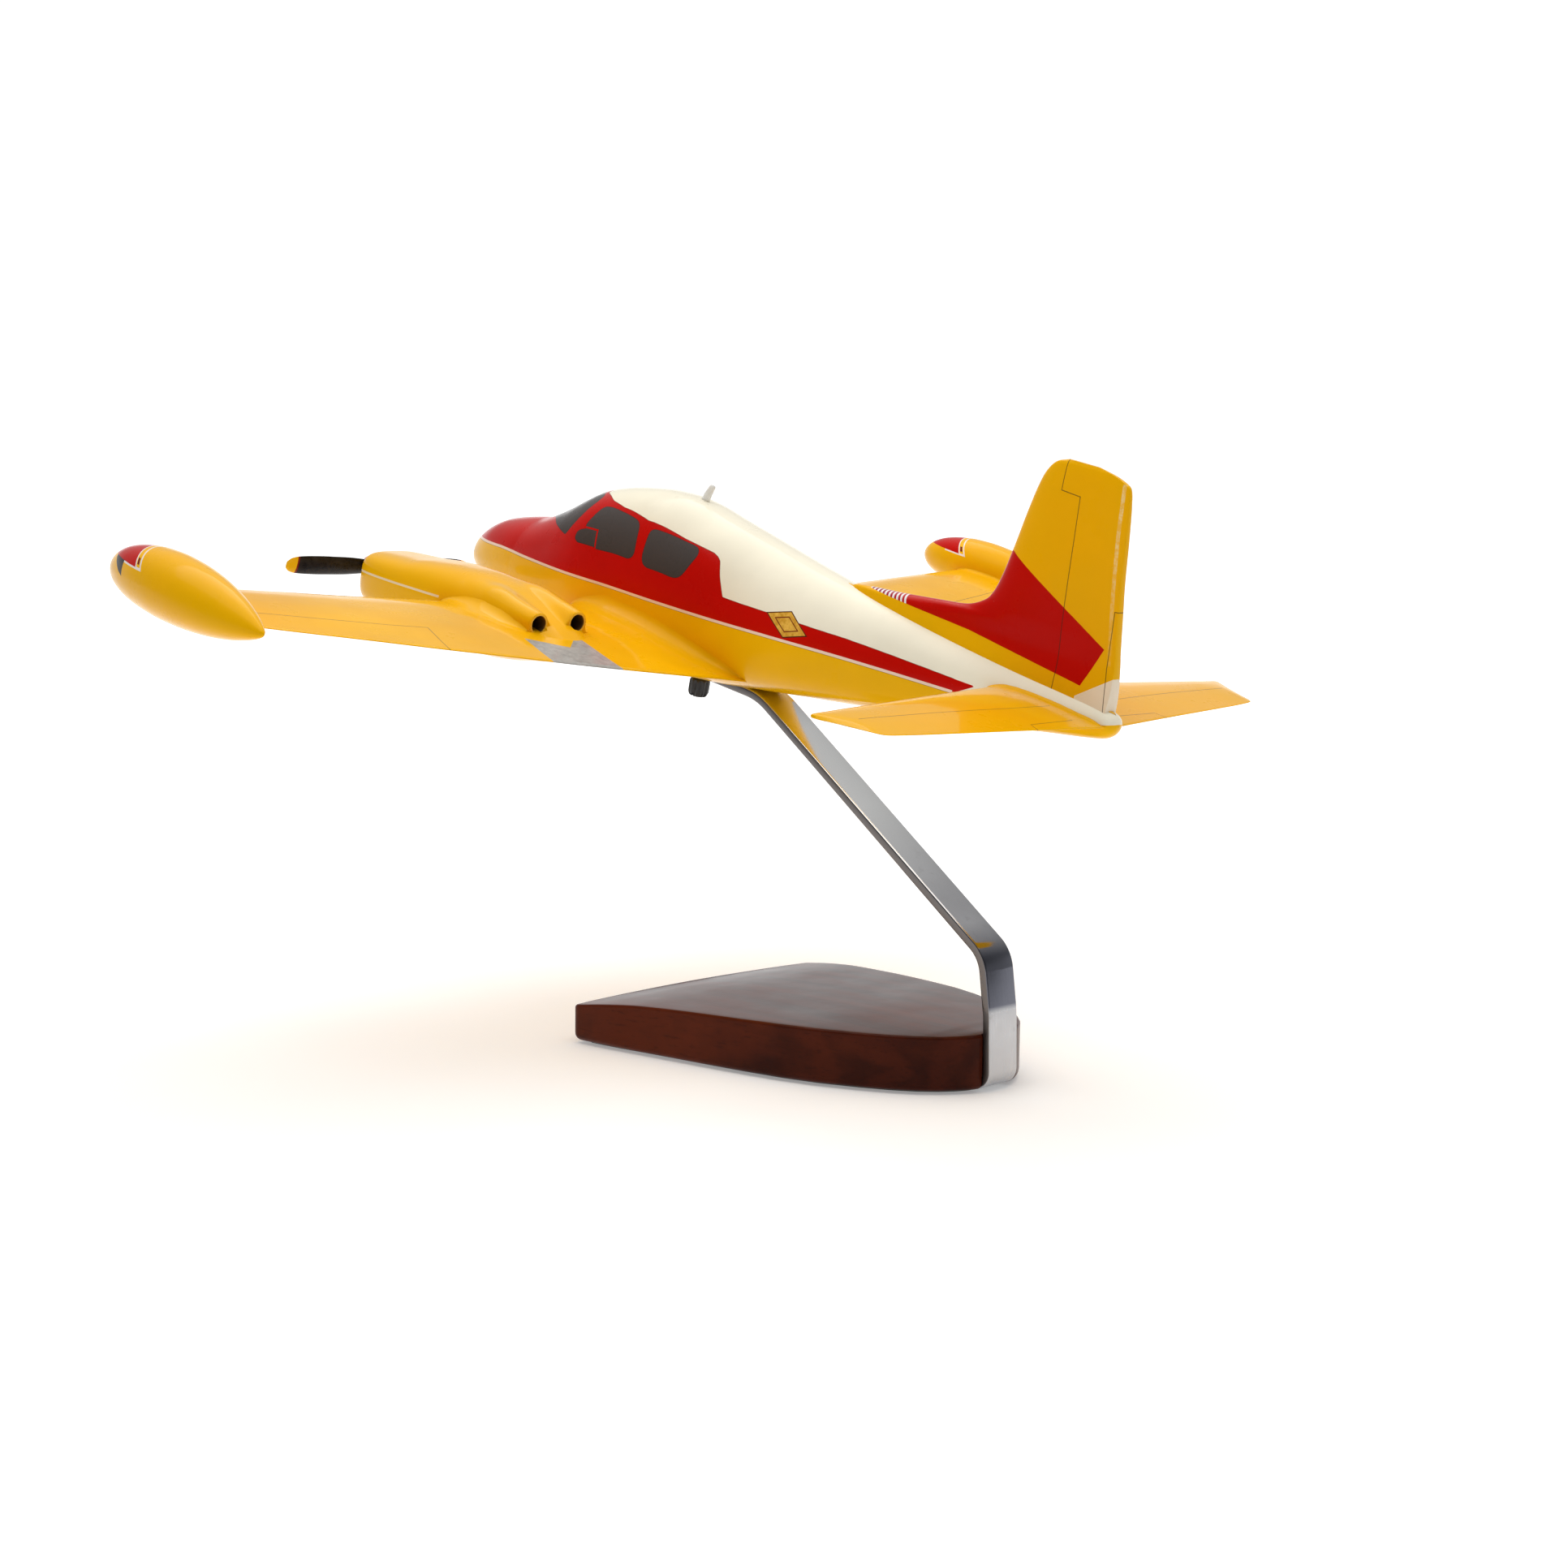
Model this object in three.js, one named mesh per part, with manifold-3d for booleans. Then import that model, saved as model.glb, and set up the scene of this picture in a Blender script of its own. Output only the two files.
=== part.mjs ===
// Desktop display model of a light twin propeller airplane on a wooden stand.
// Millimetres, +Z up, nose towards -Y, port side +X, origin at the centre of the stand's underside.
import * as THREE from 'three';
import Module from 'manifold-3d';
import { mergeVertices } from 'three/addons/utils/BufferGeometryUtils.js';

const wasm = await Module();
wasm.setup();

// ---------------------------------------------------------------- driving dimensions
const PITCH_DEG = 12.5;            // nose-up attitude of the airplane on its stand
const PLANE_Y = -62.35;            // airplane datum in the row frame
const PLANE_Z = 161.0;
const GAP = 0.3;                   // clearance between carved pieces that meet

const BASE_REAR_Y = 78.1;          // display base
const BASE_BOTTOM = 1.05;
const FELT_T = 1.0;

const ARM_W = 15.1;                // bent flat bar
const ARM_T = 3.46;
const LEG_LOW = -25.2;             // underside of the arm's upper leg, airplane frame
const SLOT_TOP = LEG_LOW + ARM_T + GAP;
const FOOT_Z = 1.15;               // underside of the arm's foot

const SCREW_Y = -6.0;              // thumbscrew axis, airplane frame
const STUD_R = 2.0;
const STUD_TOP = -14.3;
const INSERT_R = 3.3;
const INSERT_BORE = 2.08;

const NAC_X = 74.5;                // engine centreline
const PROP_W = -10.9;
const PROP_R = 45.0;
const PROP_PLANE = -118.2;
const PROP_TILT_DEG = 2.0;         // rest angle of the port blade above level
const SHAFT_R = 1.0;
const HUB_BORE = 1.045;

const TANK_X = 212.84;
const EXH_X = [NAC_X - 9.2, NAC_X + 9.2];
const EXH_W = -4.4;
const EXH_V = -9.0;
const EXH_R = 3.1;

// ---------------------------------------------------------------- small helpers
const lerp = (a, b, t) => a + (b - a) * t;

// value read from a table of [station, value] rows, smooth between them
function table(rows, s, col = 1) {
  if (s <= rows[0][0]) return rows[0][col];
  const n = rows.length;
  if (s >= rows[n - 1][0]) return rows[n - 1][col];
  let i = 0;
  while (s > rows[i + 1][0]) i++;
  const slope = (a, b) => (rows[b][col] - rows[a][col]) / (rows[b][0] - rows[a][0]);
  const h = rows[i + 1][0] - rows[i][0];
  const d = slope(i, i + 1);
  const tan = (k) => {
    if (k === 0) return slope(0, 1);
    if (k === n - 1) return slope(n - 2, n - 1);
    const a = slope(k - 1, k), b = slope(k, k + 1);
    return a * b <= 0 ? 0 : (2 * a * b) / (a + b);
  };
  const t = (s - rows[i][0]) / h;
  const m0 = tan(i) * h, m1 = tan(i + 1) * h;
  const y0 = rows[i][col], y1 = rows[i + 1][col];
  return (2 * t ** 3 - 3 * t ** 2 + 1) * y0 + (t ** 3 - 2 * t ** 2 + t) * m0
    + (-2 * t ** 3 + 3 * t ** 2) * y1 + (t ** 3 - t ** 2) * m1;
}

// closed solid through rings of points; each end closes on a centre point
function loft(rings) {
  const n = rings[0].length;
  const pos = [];
  rings.forEach((r) => r.forEach((p) => pos.push(...p)));
  const mid = (r) => [0, 1, 2].map((k) => r.reduce((a, p) => a + p[k], 0) / r.length);
  const a = rings.length * n, b = a + 1;
  pos.push(...mid(rings[0]), ...mid(rings[rings.length - 1]));
  const idx = [];
  for (let i = 0; i < rings.length - 1; i++) {
    for (let j = 0; j < n; j++) {
      const k = (j + 1) % n;
      const p = i * n + j, q = i * n + k, r = (i + 1) * n + j, s = (i + 1) * n + k;
      idx.push(p, r, q, q, r, s);
    }
  }
  const last = (rings.length - 1) * n;
  for (let j = 0; j < n; j++) {
    const k = (j + 1) % n;
    idx.push(a, j, k, b, last + k, last + j);
  }
  return outward(pos, idx);
}

// flips the winding where a solid was strung inside out
function outward(pos, idx) {
  let vol = 0;
  for (let i = 0; i < idx.length; i += 3) {
    const [a, b, c] = [0, 1, 2].map((k) => new THREE.Vector3().fromArray(pos, idx[i + k] * 3));
    vol += a.dot(b.cross(c));
  }
  if (vol < 0) for (let i = 0; i < idx.length; i += 3) [idx[i], idx[i + 1]] = [idx[i + 1], idx[i]];
  const g = new THREE.BufferGeometry();
  g.setAttribute('position', new THREE.Float32BufferAttribute(pos, 3));
  g.setIndex(idx);
  return g;
}

function solid(g) {
  const c = g.clone();
  c.deleteAttribute('normal');
  c.deleteAttribute('uv');
  const m = mergeVertices(c, 1e-5);
  return new wasm.Manifold(new wasm.Mesh({
    numProp: 3,
    vertProperties: new Float32Array(m.attributes.position.array),
    triVerts: new Uint32Array(m.index.array),
  }));
}

function geometry(man) {
  const mesh = man.getMesh();
  const g = new THREE.BufferGeometry();
  g.setAttribute('position', new THREE.BufferAttribute(new Float32Array(mesh.vertProperties), 3));
  g.setIndex(new THREE.BufferAttribute(new Uint32Array(mesh.triVerts), 1));
  return g;
}

const cut = (g, ...tools) => geometry(tools.reduce((s, t) => s.subtract(solid(t)), solid(g)));
const join = (...gs) => geometry(gs.slice(1).reduce((s, t) => s.add(solid(t)), solid(gs[0])));

// cylinder from a to b
function rod(a, b, r, seg = 24, r2 = r) {
  const A = new THREE.Vector3(...a), B = new THREE.Vector3(...b);
  const g = new THREE.CylinderGeometry(r2, r, A.distanceTo(B), seg);
  g.applyQuaternion(new THREE.Quaternion().setFromUnitVectors(
    new THREE.Vector3(0, 1, 0), B.clone().sub(A).normalize()));
  g.translate((A.x + B.x) / 2, (A.y + B.y) / 2, (A.z + B.z) / 2);
  return g;
}

function box(x0, x1, y0, y1, z0, z1) {
  const g = new THREE.BoxGeometry(x1 - x0, y1 - y0, z1 - z0);
  g.translate((x0 + x1) / 2, (y0 + y1) / 2, (z0 + z1) / 2);
  return g;
}

// turned piece: profile of [radius, height] rows about +Y, starting and ending on the axis
const turned = (rows, seg = 24) => new THREE.LatheGeometry(rows.map((p) => new THREE.Vector2(...p)), seg);

function mirrored(g) {
  const m = g.clone();
  const p = m.attributes.position;
  for (let i = 0; i < p.count; i++) p.setX(i, -p.getX(i));
  const ix = m.index.array;
  for (let i = 0; i < ix.length; i += 3) [ix[i], ix[i + 1]] = [ix[i + 1], ix[i]];
  if (m.attributes.normal) m.deleteAttribute('normal');
  return m;
}

// egg-shaped section: half width a, top t, bottom b, widest at height c
function eggRing(v, x0, a, t, b, c, nu, nl, seg) {
  const ring = [];
  for (let k = 0; k < seg; k++) {
    const th = ((k + 0.5) / seg) * Math.PI * 2;
    const cs = Math.cos(th), sn = Math.sin(th);
    const n = sn >= 0 ? nu : nl;
    const h = sn >= 0 ? t - c : c - b;
    ring.push([x0 + a * Math.sign(cs) * Math.abs(cs) ** (2 / n), v,
      c + h * Math.sign(sn) * Math.abs(sn) ** (2 / n)]);
  }
  return ring;
}

// ---------------------------------------------------------------- fuselage
// station, half width, top, bottom, widest height, upper and lower fullness
const FUS = [
  [-146.6, 1.6, -10.2, -13.4, -12, 2, 2],
  [-145.6, 4.7, -7.2, -15.6, -12, 2, 2],
  [-143.4, 7.8, -3.8, -17.6, -11.7, 2, 2.05],
  [-140, 10.4, -0.6, -19.2, -11.3, 2, 2.1],
  [-135, 13.0, 2.8, -20.8, -10.8, 2.05, 2.15],
  [-128, 15.6, 6.3, -22.2, -10, 2.1, 2.2],
  [-120, 17.8, 8.9, -23.4, -9.2, 2.15, 2.25],
  [-111, 19.8, 11.2, -24.4, -8.4, 2.2, 2.3],
  [-102.5, 21.4, 13.2, -25.2, -7.8, 2.2, 2.3],
  [-98, 22.2, 15.0, -25.7, -7.2, 2.2, 2.35],
  [-92.3, 23.1, 17.9, -26.2, -6.8, 2.2, 2.35],
  [-83.2, 24.4, 23.2, -26.7, -6.2, 2.2, 2.4],
  [-74.4, 25.6, 29.0, -27.1, -5.8, 2.2, 2.4],
  [-69, 26.1, 32.0, -27.4, -5.4, 2.25, 2.45],
  [-62, 26.6, 34.7, -27.7, -5.0, 2.3, 2.5],
  [-54, 26.9, 36.8, -27.9, -4.6, 2.3, 2.5],
  [-46, 27.0, 38.4, -28.0, -4.4, 2.3, 2.5],
  [-36, 27.0, 39.8, -27.9, -4.0, 2.3, 2.5],
  [-26, 26.9, 40.2, -27.7, -3.6, 2.3, 2.5],
  [-16, 26.7, 39.4, -27.4, -3.2, 2.3, 2.5],
  [-4, 26.2, 37.4, -26.6, -2.6, 2.3, 2.45],
  [14, 25.2, 34.7, -24.4, -1.4, 2.25, 2.4],
  [32, 23.8, 32.0, -21.4, 0.0, 2.2, 2.35],
  [50, 22.2, 29.4, -18.2, 1.6, 2.15, 2.3],
  [70, 20.0, 27.0, -14.9, 3.4, 2.1, 2.25],
  [90, 17.6, 25.0, -11.5, 5.2, 2.1, 2.2],
  [110, 15.0, 23.1, -8.0, 6.9, 2.1, 2.15],
  [130, 12.4, 21.4, -4.4, 8.4, 2.05, 2.1],
  [150, 9.9, 19.8, -0.5, 9.9, 2, 2.05],
  [168, 7.8, 18.5, 3.1, 11.2, 2, 2],
  [181, 6.2, 17.4, 5.7, 12.0, 2, 2],
  [187, 5.1, 16.6, 7.3, 12.3, 2, 2],
  [189.6, 3.6, 15.4, 9.2, 12.5, 2, 2],
  [190.6, 1.4, 13.7, 11.4, 12.6, 2, 2],
];
const fuselageAt = (off, seg) => loft(FUS.map(([v, a, t, b, c, nu, nl]) =>
  eggRing(v, 0, a + off, t + off, b - off, c, nu, nl, seg)));

// ---------------------------------------------------------------- wing
// span station, leading edge, trailing edge, trailing edge height, upper and lower camber
const WING = [
  [14, -62, 34, -17.0, 13.0, 6.2],
  [22, -61, 33, -16.2, 11.6, 6.0],
  [26, -60, 32.2, -15.8, 9.6, 5.8],
  [31, -59.2, 31.4, -15.4, 8.0, 5.5],
  [38, -58.6, 30.4, -14.9, 7.0, 5.2],
  [48, -58.2, 28.6, -14.1, 6.4, 4.9],
  [62, -58, 26.0, -13.0, 6.0, 4.5],
  [86, -57.8, 21.2, -11.1, 5.5, 3.9],
  [112, -57.5, 14.6, -9.0, 5.0, 3.3],
  [140, -57.2, 7.6, -6.8, 4.5, 2.8],
  [168, -57, 0.2, -4.5, 4.1, 2.4],
  [190, -56.8, -5.6, -2.8, 3.8, 2.1],
  [203, -56.6, -9.4, -1.8, 3.6, 2.0], [209, -56.5, -11.1, -1.3, 3.5, 1.9],
];
// thickness along the chord: fraction aft of the leading edge, share of the camber
const FOIL = [[0, 0], [0.008, 0.23], [0.03, 0.45], [0.08, 0.7], [0.16, 0.9], [0.28, 1], [0.42, 0.96], [0.58, 0.79], [0.74, 0.52], [0.88, 0.25], [1, 0.05]];

function foilRing(x, le, te, w, up, lo, off = 0, turn = (p) => p, foil = FOIL) {
  const c = te - le;
  const ring = [];
  foil.forEach(([f, s]) => ring.push(turn([x, le + c * f + (f - 0.5) * 2 * off, w + up * s + off])));
  for (let i = foil.length - 1; i > 0; i--) {
    const [f, s] = foil[i];
    ring.push(turn([x, le + c * f + (f - 0.5) * 2 * off, w - lo * s - off]));
  }
  if (off > 0) ring.push(turn([x, le - off, w - off]));
  else ring.push(turn([x, le + c * 0.001, w - lo * 0.1]));
  return ring;
}
const wingAt = (off) => loft(WING.map(([x, le, te, w, up, lo]) => foilRing(x, le, te, w, up, lo, off)));

// ---------------------------------------------------------------- tip tank
const TANK = [
  [-84.0, 1.1, 1.0], [-83.2, 2.8, 1.1], [-81.2, 4.9, 1.2], [-78, 6.9, 1.4], [-72.6, 8.9, 1.7],
  [-65.5, 10.5, 1.9], [-57, 11.5, 2.1], [-47.5, 11.9, 2.1], [-38, 11.6, 2.0], [-28.5, 10.7, 1.8],
  [-18.5, 9.1, 1.5], [-9.5, 7.0, 1.2], [-2, 4.6, 0.9], [3.2, 2.4, 0.6], [5.6, 0.9, 0.5],
];
const tankAt = (off, seg) => loft(TANK.map(([v, r, w]) =>
  eggRing(v, TANK_X, r + off, w + r + off, w - r - off, w, 2, 2, seg)));

// ---------------------------------------------------------------- engine nacelle
const NAC = [
  [-113.4, 11.4, -4.2, -20.4, -11.6, 3.2],
  [-112.7, 13.0, -3.3, -21.8, -11.6, 3.4],
  [-110.8, 14.6, -2.6, -23.2, -11.5, 3.4],
  [-107, 15.8, -2.1, -24.2, -11.4, 3.4],
  [-100, 16.9, -1.3, -25.2, -11.2, 3.3],
  [-90, 17.7, -0.1, -26.0, -11.0, 3.1],
  [-78, 18.1, 1.9, -26.5, -10.8, 2.9],
  [-64, 18.2, 3.5, -26.6, -10.7, 2.7],
  [-50, 18.0, 4.3, -26.2, -10.6, 2.5],
  [-37, 17.5, 3.4, -24.9, -10.6, 2.4],
  [-25, 16.6, 0.8, -22.8, -10.6, 2.4],
  [-15, 15.2, -2.4, -20.3, -10.8, 2.4],
  [-7, 13.0, -5.8, -18.3, -11.0, 2.4],
  [0, 9.8, -9.2, -16.6, -11.8, 2.3],
  [7, 5.8, -11.6, -14.9, -12.6, 2.2],
  [12, 2.4, -12.2, -13.5, -12.8, 2.0],
];


const port = {};
{
  const shell = loft(NAC.map(([v, a, t, b, c, n]) => eggRing(v, NAC_X, a, t, b, c, n, n, 28)));
  // two exhaust fairings running aft over the wing
  const pods = EXH_X.map((x) => loft([
    eggRing(-44, x, 6.6, 3.2, -13, -6, 2.1, 2.2, 20),
    eggRing(-34, x, 6.9, 3.2, -13, -5.4, 2.1, 2.2, 20),
    eggRing(-22, x, 6.2, 1.7, -12.5, -5.0, 2.1, 2.1, 20),
    eggRing(EXH_V - 2, x, 5.0, 0.2, -11, EXH_W, 2, 2, 20),
    eggRing(EXH_V, x, 4.0, EXH_W + 3.9, -10.6, EXH_W, 2, 2, 20),
  ]));
  let nac = join(shell, ...pods);
  nac = cut(nac,
    ...EXH_X.map((x) => rod([x, EXH_V + 1, EXH_W], [x, EXH_V - 9, EXH_W - 0.4], EXH_R, 20)),
    ...[-1, 1].map((s) => { // air intakes either side of the propeller hub
      const g = new THREE.CylinderGeometry(3.1, 3.4, 3.4, 20);
      g.scale(1, 1, 0.72);
      g.translate(NAC_X + s * 7.0, -112.9, PROP_W + 0.2);
      return g;
    }),
    rod([NAC_X, -114, PROP_W], [NAC_X, -97, PROP_W], SHAFT_R + GAP, 20),
    wingAt(GAP));
  port.nacelle = nac;
}

const fuselageCutter = fuselageAt(GAP, 36);
const armSlot = box(-ARM_W / 2 - GAP, ARM_W / 2 + GAP, -13.6, 70, -60, SLOT_TOP);
const wingDowels = [[-36, -13.2], [-6, -13.6]];
const tankDowel = [-36, -1.2];

port.wing = cut(wingAt(0), fuselageCutter, tankAt(GAP, 28),
  ...wingDowels.map(([v, w]) => rod([0, v, w], [42.3, v, w], 1.5 + GAP, 16)),
  rod([186.7, tankDowel[0], tankDowel[1]], [220, tankDowel[0], tankDowel[1]], 0.9 + GAP, 14));
port.tip_tank = cut(tankAt(0, 28),
  rod([180, tankDowel[0], tankDowel[1]], [214.3, tankDowel[0], tankDowel[1]], 0.9 + GAP, 14));

// ---------------------------------------------------------------- tail surfaces
// height, leading edge, trailing edge, half thickness
const FIN = [
  [14, 70, 186.0, 6.0], [21, 64, 186.2, 5.0], [25, 62, 186.0, 4.2], [28.4, 64, 185.6, 3.6],
  [31.3, 88, 185.2, 3.3], [33.4, 104, 184.8, 3.2], [35.2, 117, 184.4, 3.1], [37.4, 122.6, 184.0, 3.1],
  [40.3, 126.6, 183.5, 3.0], [46.8, 129.8, 182.4, 2.9], [58.7, 132.8, 180.4, 2.6],
  [74.7, 136.2, 178.4, 2.1], [86, 139.4, 176.6, 1.8], [89.8, 141.6, 175.4, 1.6], [92.2, 144.2, 170.0, 1.3], [93.8, 149, 161.5, 0.7],
];
// the fin keeps a square trailing edge
const FIN_FOIL = [[0, 0], [0.008, 0.23], [0.03, 0.45], [0.08, 0.7], [0.16, 0.9], [0.28, 1], [0.42, 0.97], [0.58, 0.88], [0.74, 0.76], [0.88, 0.64], [1, 0.54]];
const FIN_DOWELS = [151, 172];
const STAB = [ // span station, leading edge, trailing edge, height, half thickness
  [1, 139.6, 189.2, 11.9, 2.5], [12, 141.6, 187.8, 11.9, 2.4], [40, 144.6, 184.2, 11.8, 2.2],
  [70, 147.8, 180.4, 11.6, 1.9], [92, 150.2, 177.5, 11.5, 1.7], [99.5, 151.1, 175.9, 11.5, 1.5],
  [104.4, 151.7, 166.6, 11.5, 1.2], [108.4, 152.3, 158.0, 11.5, 0.8], [109.4, 153.0, 155.2, 11.5, 0.5],
];
const stabAt = (off) => loft(STAB.map(([x, le, te, w, t]) => foilRing(x, le, te, w, t, t, off)));
const stabTunnel = [164, 11.7];

port.stabilizer = cut(stabAt(0), fuselageCutter,
  rod([0, stabTunnel[0], stabTunnel[1]], [26.3, stabTunnel[0], stabTunnel[1]], 0.9 + GAP, 14));

const fin = cut(
  loft(FIN.map(([w, le, te, t]) => foilRing(0, le, te, 0, t, t, 0, ([, v, s]) => [s, v, w], FIN_FOIL))),
  fuselageCutter,
  ...FIN_DOWELS.map((v) => rod([0, v, 0], [0, v, 32.3], 0.9 + GAP, 14)));

// ---------------------------------------------------------------- propeller, spinner, shaft
{
  // one blade: radius, chord, half thickness, twist from the disc plane
  const BLADE = [
    [2.0, 5.4, 1.9, 38], [6, 6.6, 1.7, 34], [11, 7.8, 1.4, 28], [18, 8.4, 1.15, 23], [27, 8.4, 0.95, 19],
    [35, 8.0, 0.8, 16], [40, 7.2, 0.7, 14], [43, 5.6, 0.6, 13], [44.6, 3.0, 0.45, 12],
  ];
  const ring = ([r, c, t, tw]) => {
    const a = THREE.MathUtils.degToRad(tw);
    const out = [];
    for (let k = 0; k < 14; k++) {
      const th = (k / 14) * Math.PI * 2;
      const u = (c / 2) * Math.cos(th), h = t * Math.sin(th);
      out.push([r, u * Math.sin(a) + h * Math.cos(a), u * Math.cos(a) - h * Math.sin(a)]);
    }
    return out;
  };
  const blade = loft(BLADE.map(ring));
  const other = blade.clone();
  other.rotateY(Math.PI);
  const hub = rod([0, 3.4, 0], [0, -3.4, 0], 4.3, 32);
  let prop = join(blade, other, hub);
  prop = cut(prop, rod([0, 6, 0], [0, -6, 0], HUB_BORE, 32));
  prop.rotateY(THREE.MathUtils.degToRad(-PROP_TILT_DEG));
  prop.translate(NAC_X, PROP_PLANE, PROP_W);
  port.propeller = prop;

  // spinner bored for the shaft head
  const sp = turned([[0, -1.8], [2.2, -1.8], [2.2, 0], [3.4, 0], [3.4, -1.0], [3.25, -2.2], [2.9, -3.6], [2.3, -5.0], [1.4, -6.3], [0.6, -6.9], [0, -7.0]].reverse(), 32);
  sp.translate(NAC_X, PROP_PLANE - 3.5, PROP_W);
  port.spinner = cut(sp);

  const shaft = turned([[0, -5.7], [1.7, -5.7], [1.9, -5.3], [1.9, -4.9], [SHAFT_R, -4.9], [SHAFT_R, 16.4], [0.5, 17.4], [0, 17.4]], 32);
  shaft.translate(NAC_X, PROP_PLANE + 1.1, PROP_W);
  port.prop_shaft = cut(shaft);

  port.prop_washer = cut(rod([NAC_X, -114.55, PROP_W], [NAC_X, -113.75, PROP_W], 2.8, 24),
    rod([NAC_X, -116, PROP_W], [NAC_X, -112, PROP_W], SHAFT_R + 0.1, 24));
}
port.front_wing_dowel = rod([14, wingDowels[0][0], wingDowels[0][1]], [42, wingDowels[0][0], wingDowels[0][1]], 1.5, 16);
port.rear_wing_dowel = rod([14, wingDowels[1][0], wingDowels[1][1]], [42, wingDowels[1][0], wingDowels[1][1]], 1.5, 16);
port.tank_dowel = rod([187, tankDowel[0], tankDowel[1]], [214, tankDowel[0], tankDowel[1]], 0.9, 14);

// ---------------------------------------------------------------- antenna
const ANT = [[36.5, -19.6, 1.1, 0.7], [39.0, -19.5, 1.2, 0.7], [40.0, -19.3, 2.25, 0.9], [41.3, -18.7, 2.15, 0.8], [43.4, -17.8, 1.9, 0.7], [45.3, -16.8, 1.7, 0.6], [46.4, -16.4, 1.1, 0.4]];
const antennaAt = (off) => loft(ANT.map(([w, v, a, b]) => {
  const r = [];
  for (let k = 0; k < 12; k++) {
    const th = (k / 12) * Math.PI * 2;
    r.push([(b + off) * Math.sin(th), v + (a + off) * Math.cos(th), w - (w === ANT[0][0] ? off : 0)]);
  }
  return r;
}));

// ---------------------------------------------------------------- fuselage body with its sockets
const fuselage = cut(fuselageAt(0, 36),
  armSlot,
  rod([0, SCREW_Y, SLOT_TOP - 1], [0, SCREW_Y, -8.5], INSERT_R + GAP, 24),
  ...[-1, 1].flatMap((s) => wingDowels.map(([v, w]) => rod([s * 13.7, v, w], [s * 45, v, w], 1.5 + GAP, 16))),
  ...FIN_DOWELS.map((v) => rod([0, v, v < 160 ? 7.7 : 8.7], [0, v, 40], 0.9 + GAP, 14)),
  rod([-40, stabTunnel[0], stabTunnel[1]], [40, stabTunnel[0], stabTunnel[1]], 0.9 + GAP, 14),
  antennaAt(GAP));

const finDowels = FIN_DOWELS.map((v) => rod([0, v, v < 160 ? 8 : 9], [0, v, 32], 0.9, 14));
const stabDowel = rod([-26, stabTunnel[0], stabTunnel[1]], [26, stabTunnel[0], stabTunnel[1]], 0.9, 14);

// ---------------------------------------------------------------- thumbscrew, washer and threaded insert
const insert = cut(rod([0, SCREW_Y, SLOT_TOP + 0.1], [0, SCREW_Y, -11.2], INSERT_R, 24),
  rod([0, SCREW_Y, -40], [0, SCREW_Y, 0], INSERT_BORE, 24));
const WASHER_T = 0.9;
const washer = cut(rod([0, SCREW_Y, LEG_LOW - 0.15 - WASHER_T], [0, SCREW_Y, LEG_LOW - 0.15], 4.0, 28),
  rod([0, SCREW_Y, -40], [0, SCREW_Y, 0], STUD_R + 0.08, 24));
const KNOB_TOP = LEG_LOW - 0.15 - WASHER_T - 0.1;
const stud = turned([[0, KNOB_TOP - 6.2], [STUD_R, KNOB_TOP - 6.2], [STUD_R, STUD_TOP - 0.5], [STUD_R - 0.5, STUD_TOP], [0, STUD_TOP]], 24);
stud.rotateX(Math.PI / 2);
stud.translate(0, SCREW_Y, 0);
let knob;
{
  const k = turned([[0, -8.4], [2.8, -8.4], [3.7, -7.8], [4.05, -6.6], [4.05, -2.4], [3.7, -1.6], [2.9, -1.1], [2.9, 0], [0, 0]], 36);
  k.rotateX(Math.PI / 2);
  k.translate(0, SCREW_Y, KNOB_TOP);
  const flutes = [];
  for (let i = 0; i < 10; i++) {
    const a = ((i + 0.5) / 10) * Math.PI * 2;
    flutes.push(rod([4.55 * Math.cos(a), SCREW_Y + 4.55 * Math.sin(a), KNOB_TOP - 9],
      [4.55 * Math.cos(a), SCREW_Y + 4.55 * Math.sin(a), KNOB_TOP - 1.6], 0.85, 8));
  }
  knob = cut(k, ...flutes,
    box(-5, 5, SCREW_Y - 0.55, SCREW_Y + 0.55, KNOB_TOP - 9, KNOB_TOP - 7.5),
    rod([0, SCREW_Y, KNOB_TOP - 6.25], [0, SCREW_Y, KNOB_TOP + 1], STUD_R + 0.05, 24));
}

// ---------------------------------------------------------------- display arm: one flat bar, bent four times
const toRow = new THREE.Matrix4().compose(
  new THREE.Vector3(0, PLANE_Y, PLANE_Z),
  new THREE.Quaternion().setFromAxisAngle(new THREE.Vector3(1, 0, 0), -THREE.MathUtils.degToRad(PITCH_DEG)),
  new THREE.Vector3(1, 1, 1));
const rowPoint = (v, w) => {
  const p = new THREE.Vector3(0, v, w).applyMatrix4(toRow);
  return [p.y, p.z];
};
// outer (rear and upper) face of the bar in the row's side plane: [y, z, bend radius]
const ARM_LINE = [
  [...rowPoint(-13.0, LEG_LOW + ARM_T), 0],
  [...rowPoint(33.0, LEG_LOW + ARM_T), 30],
  [77.9, 49.0, 15],
  [80.8, 28.0, 55],
  [81.6, FOOT_Z, 6.2],
  [38.0, FOOT_Z, 0],
];
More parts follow.
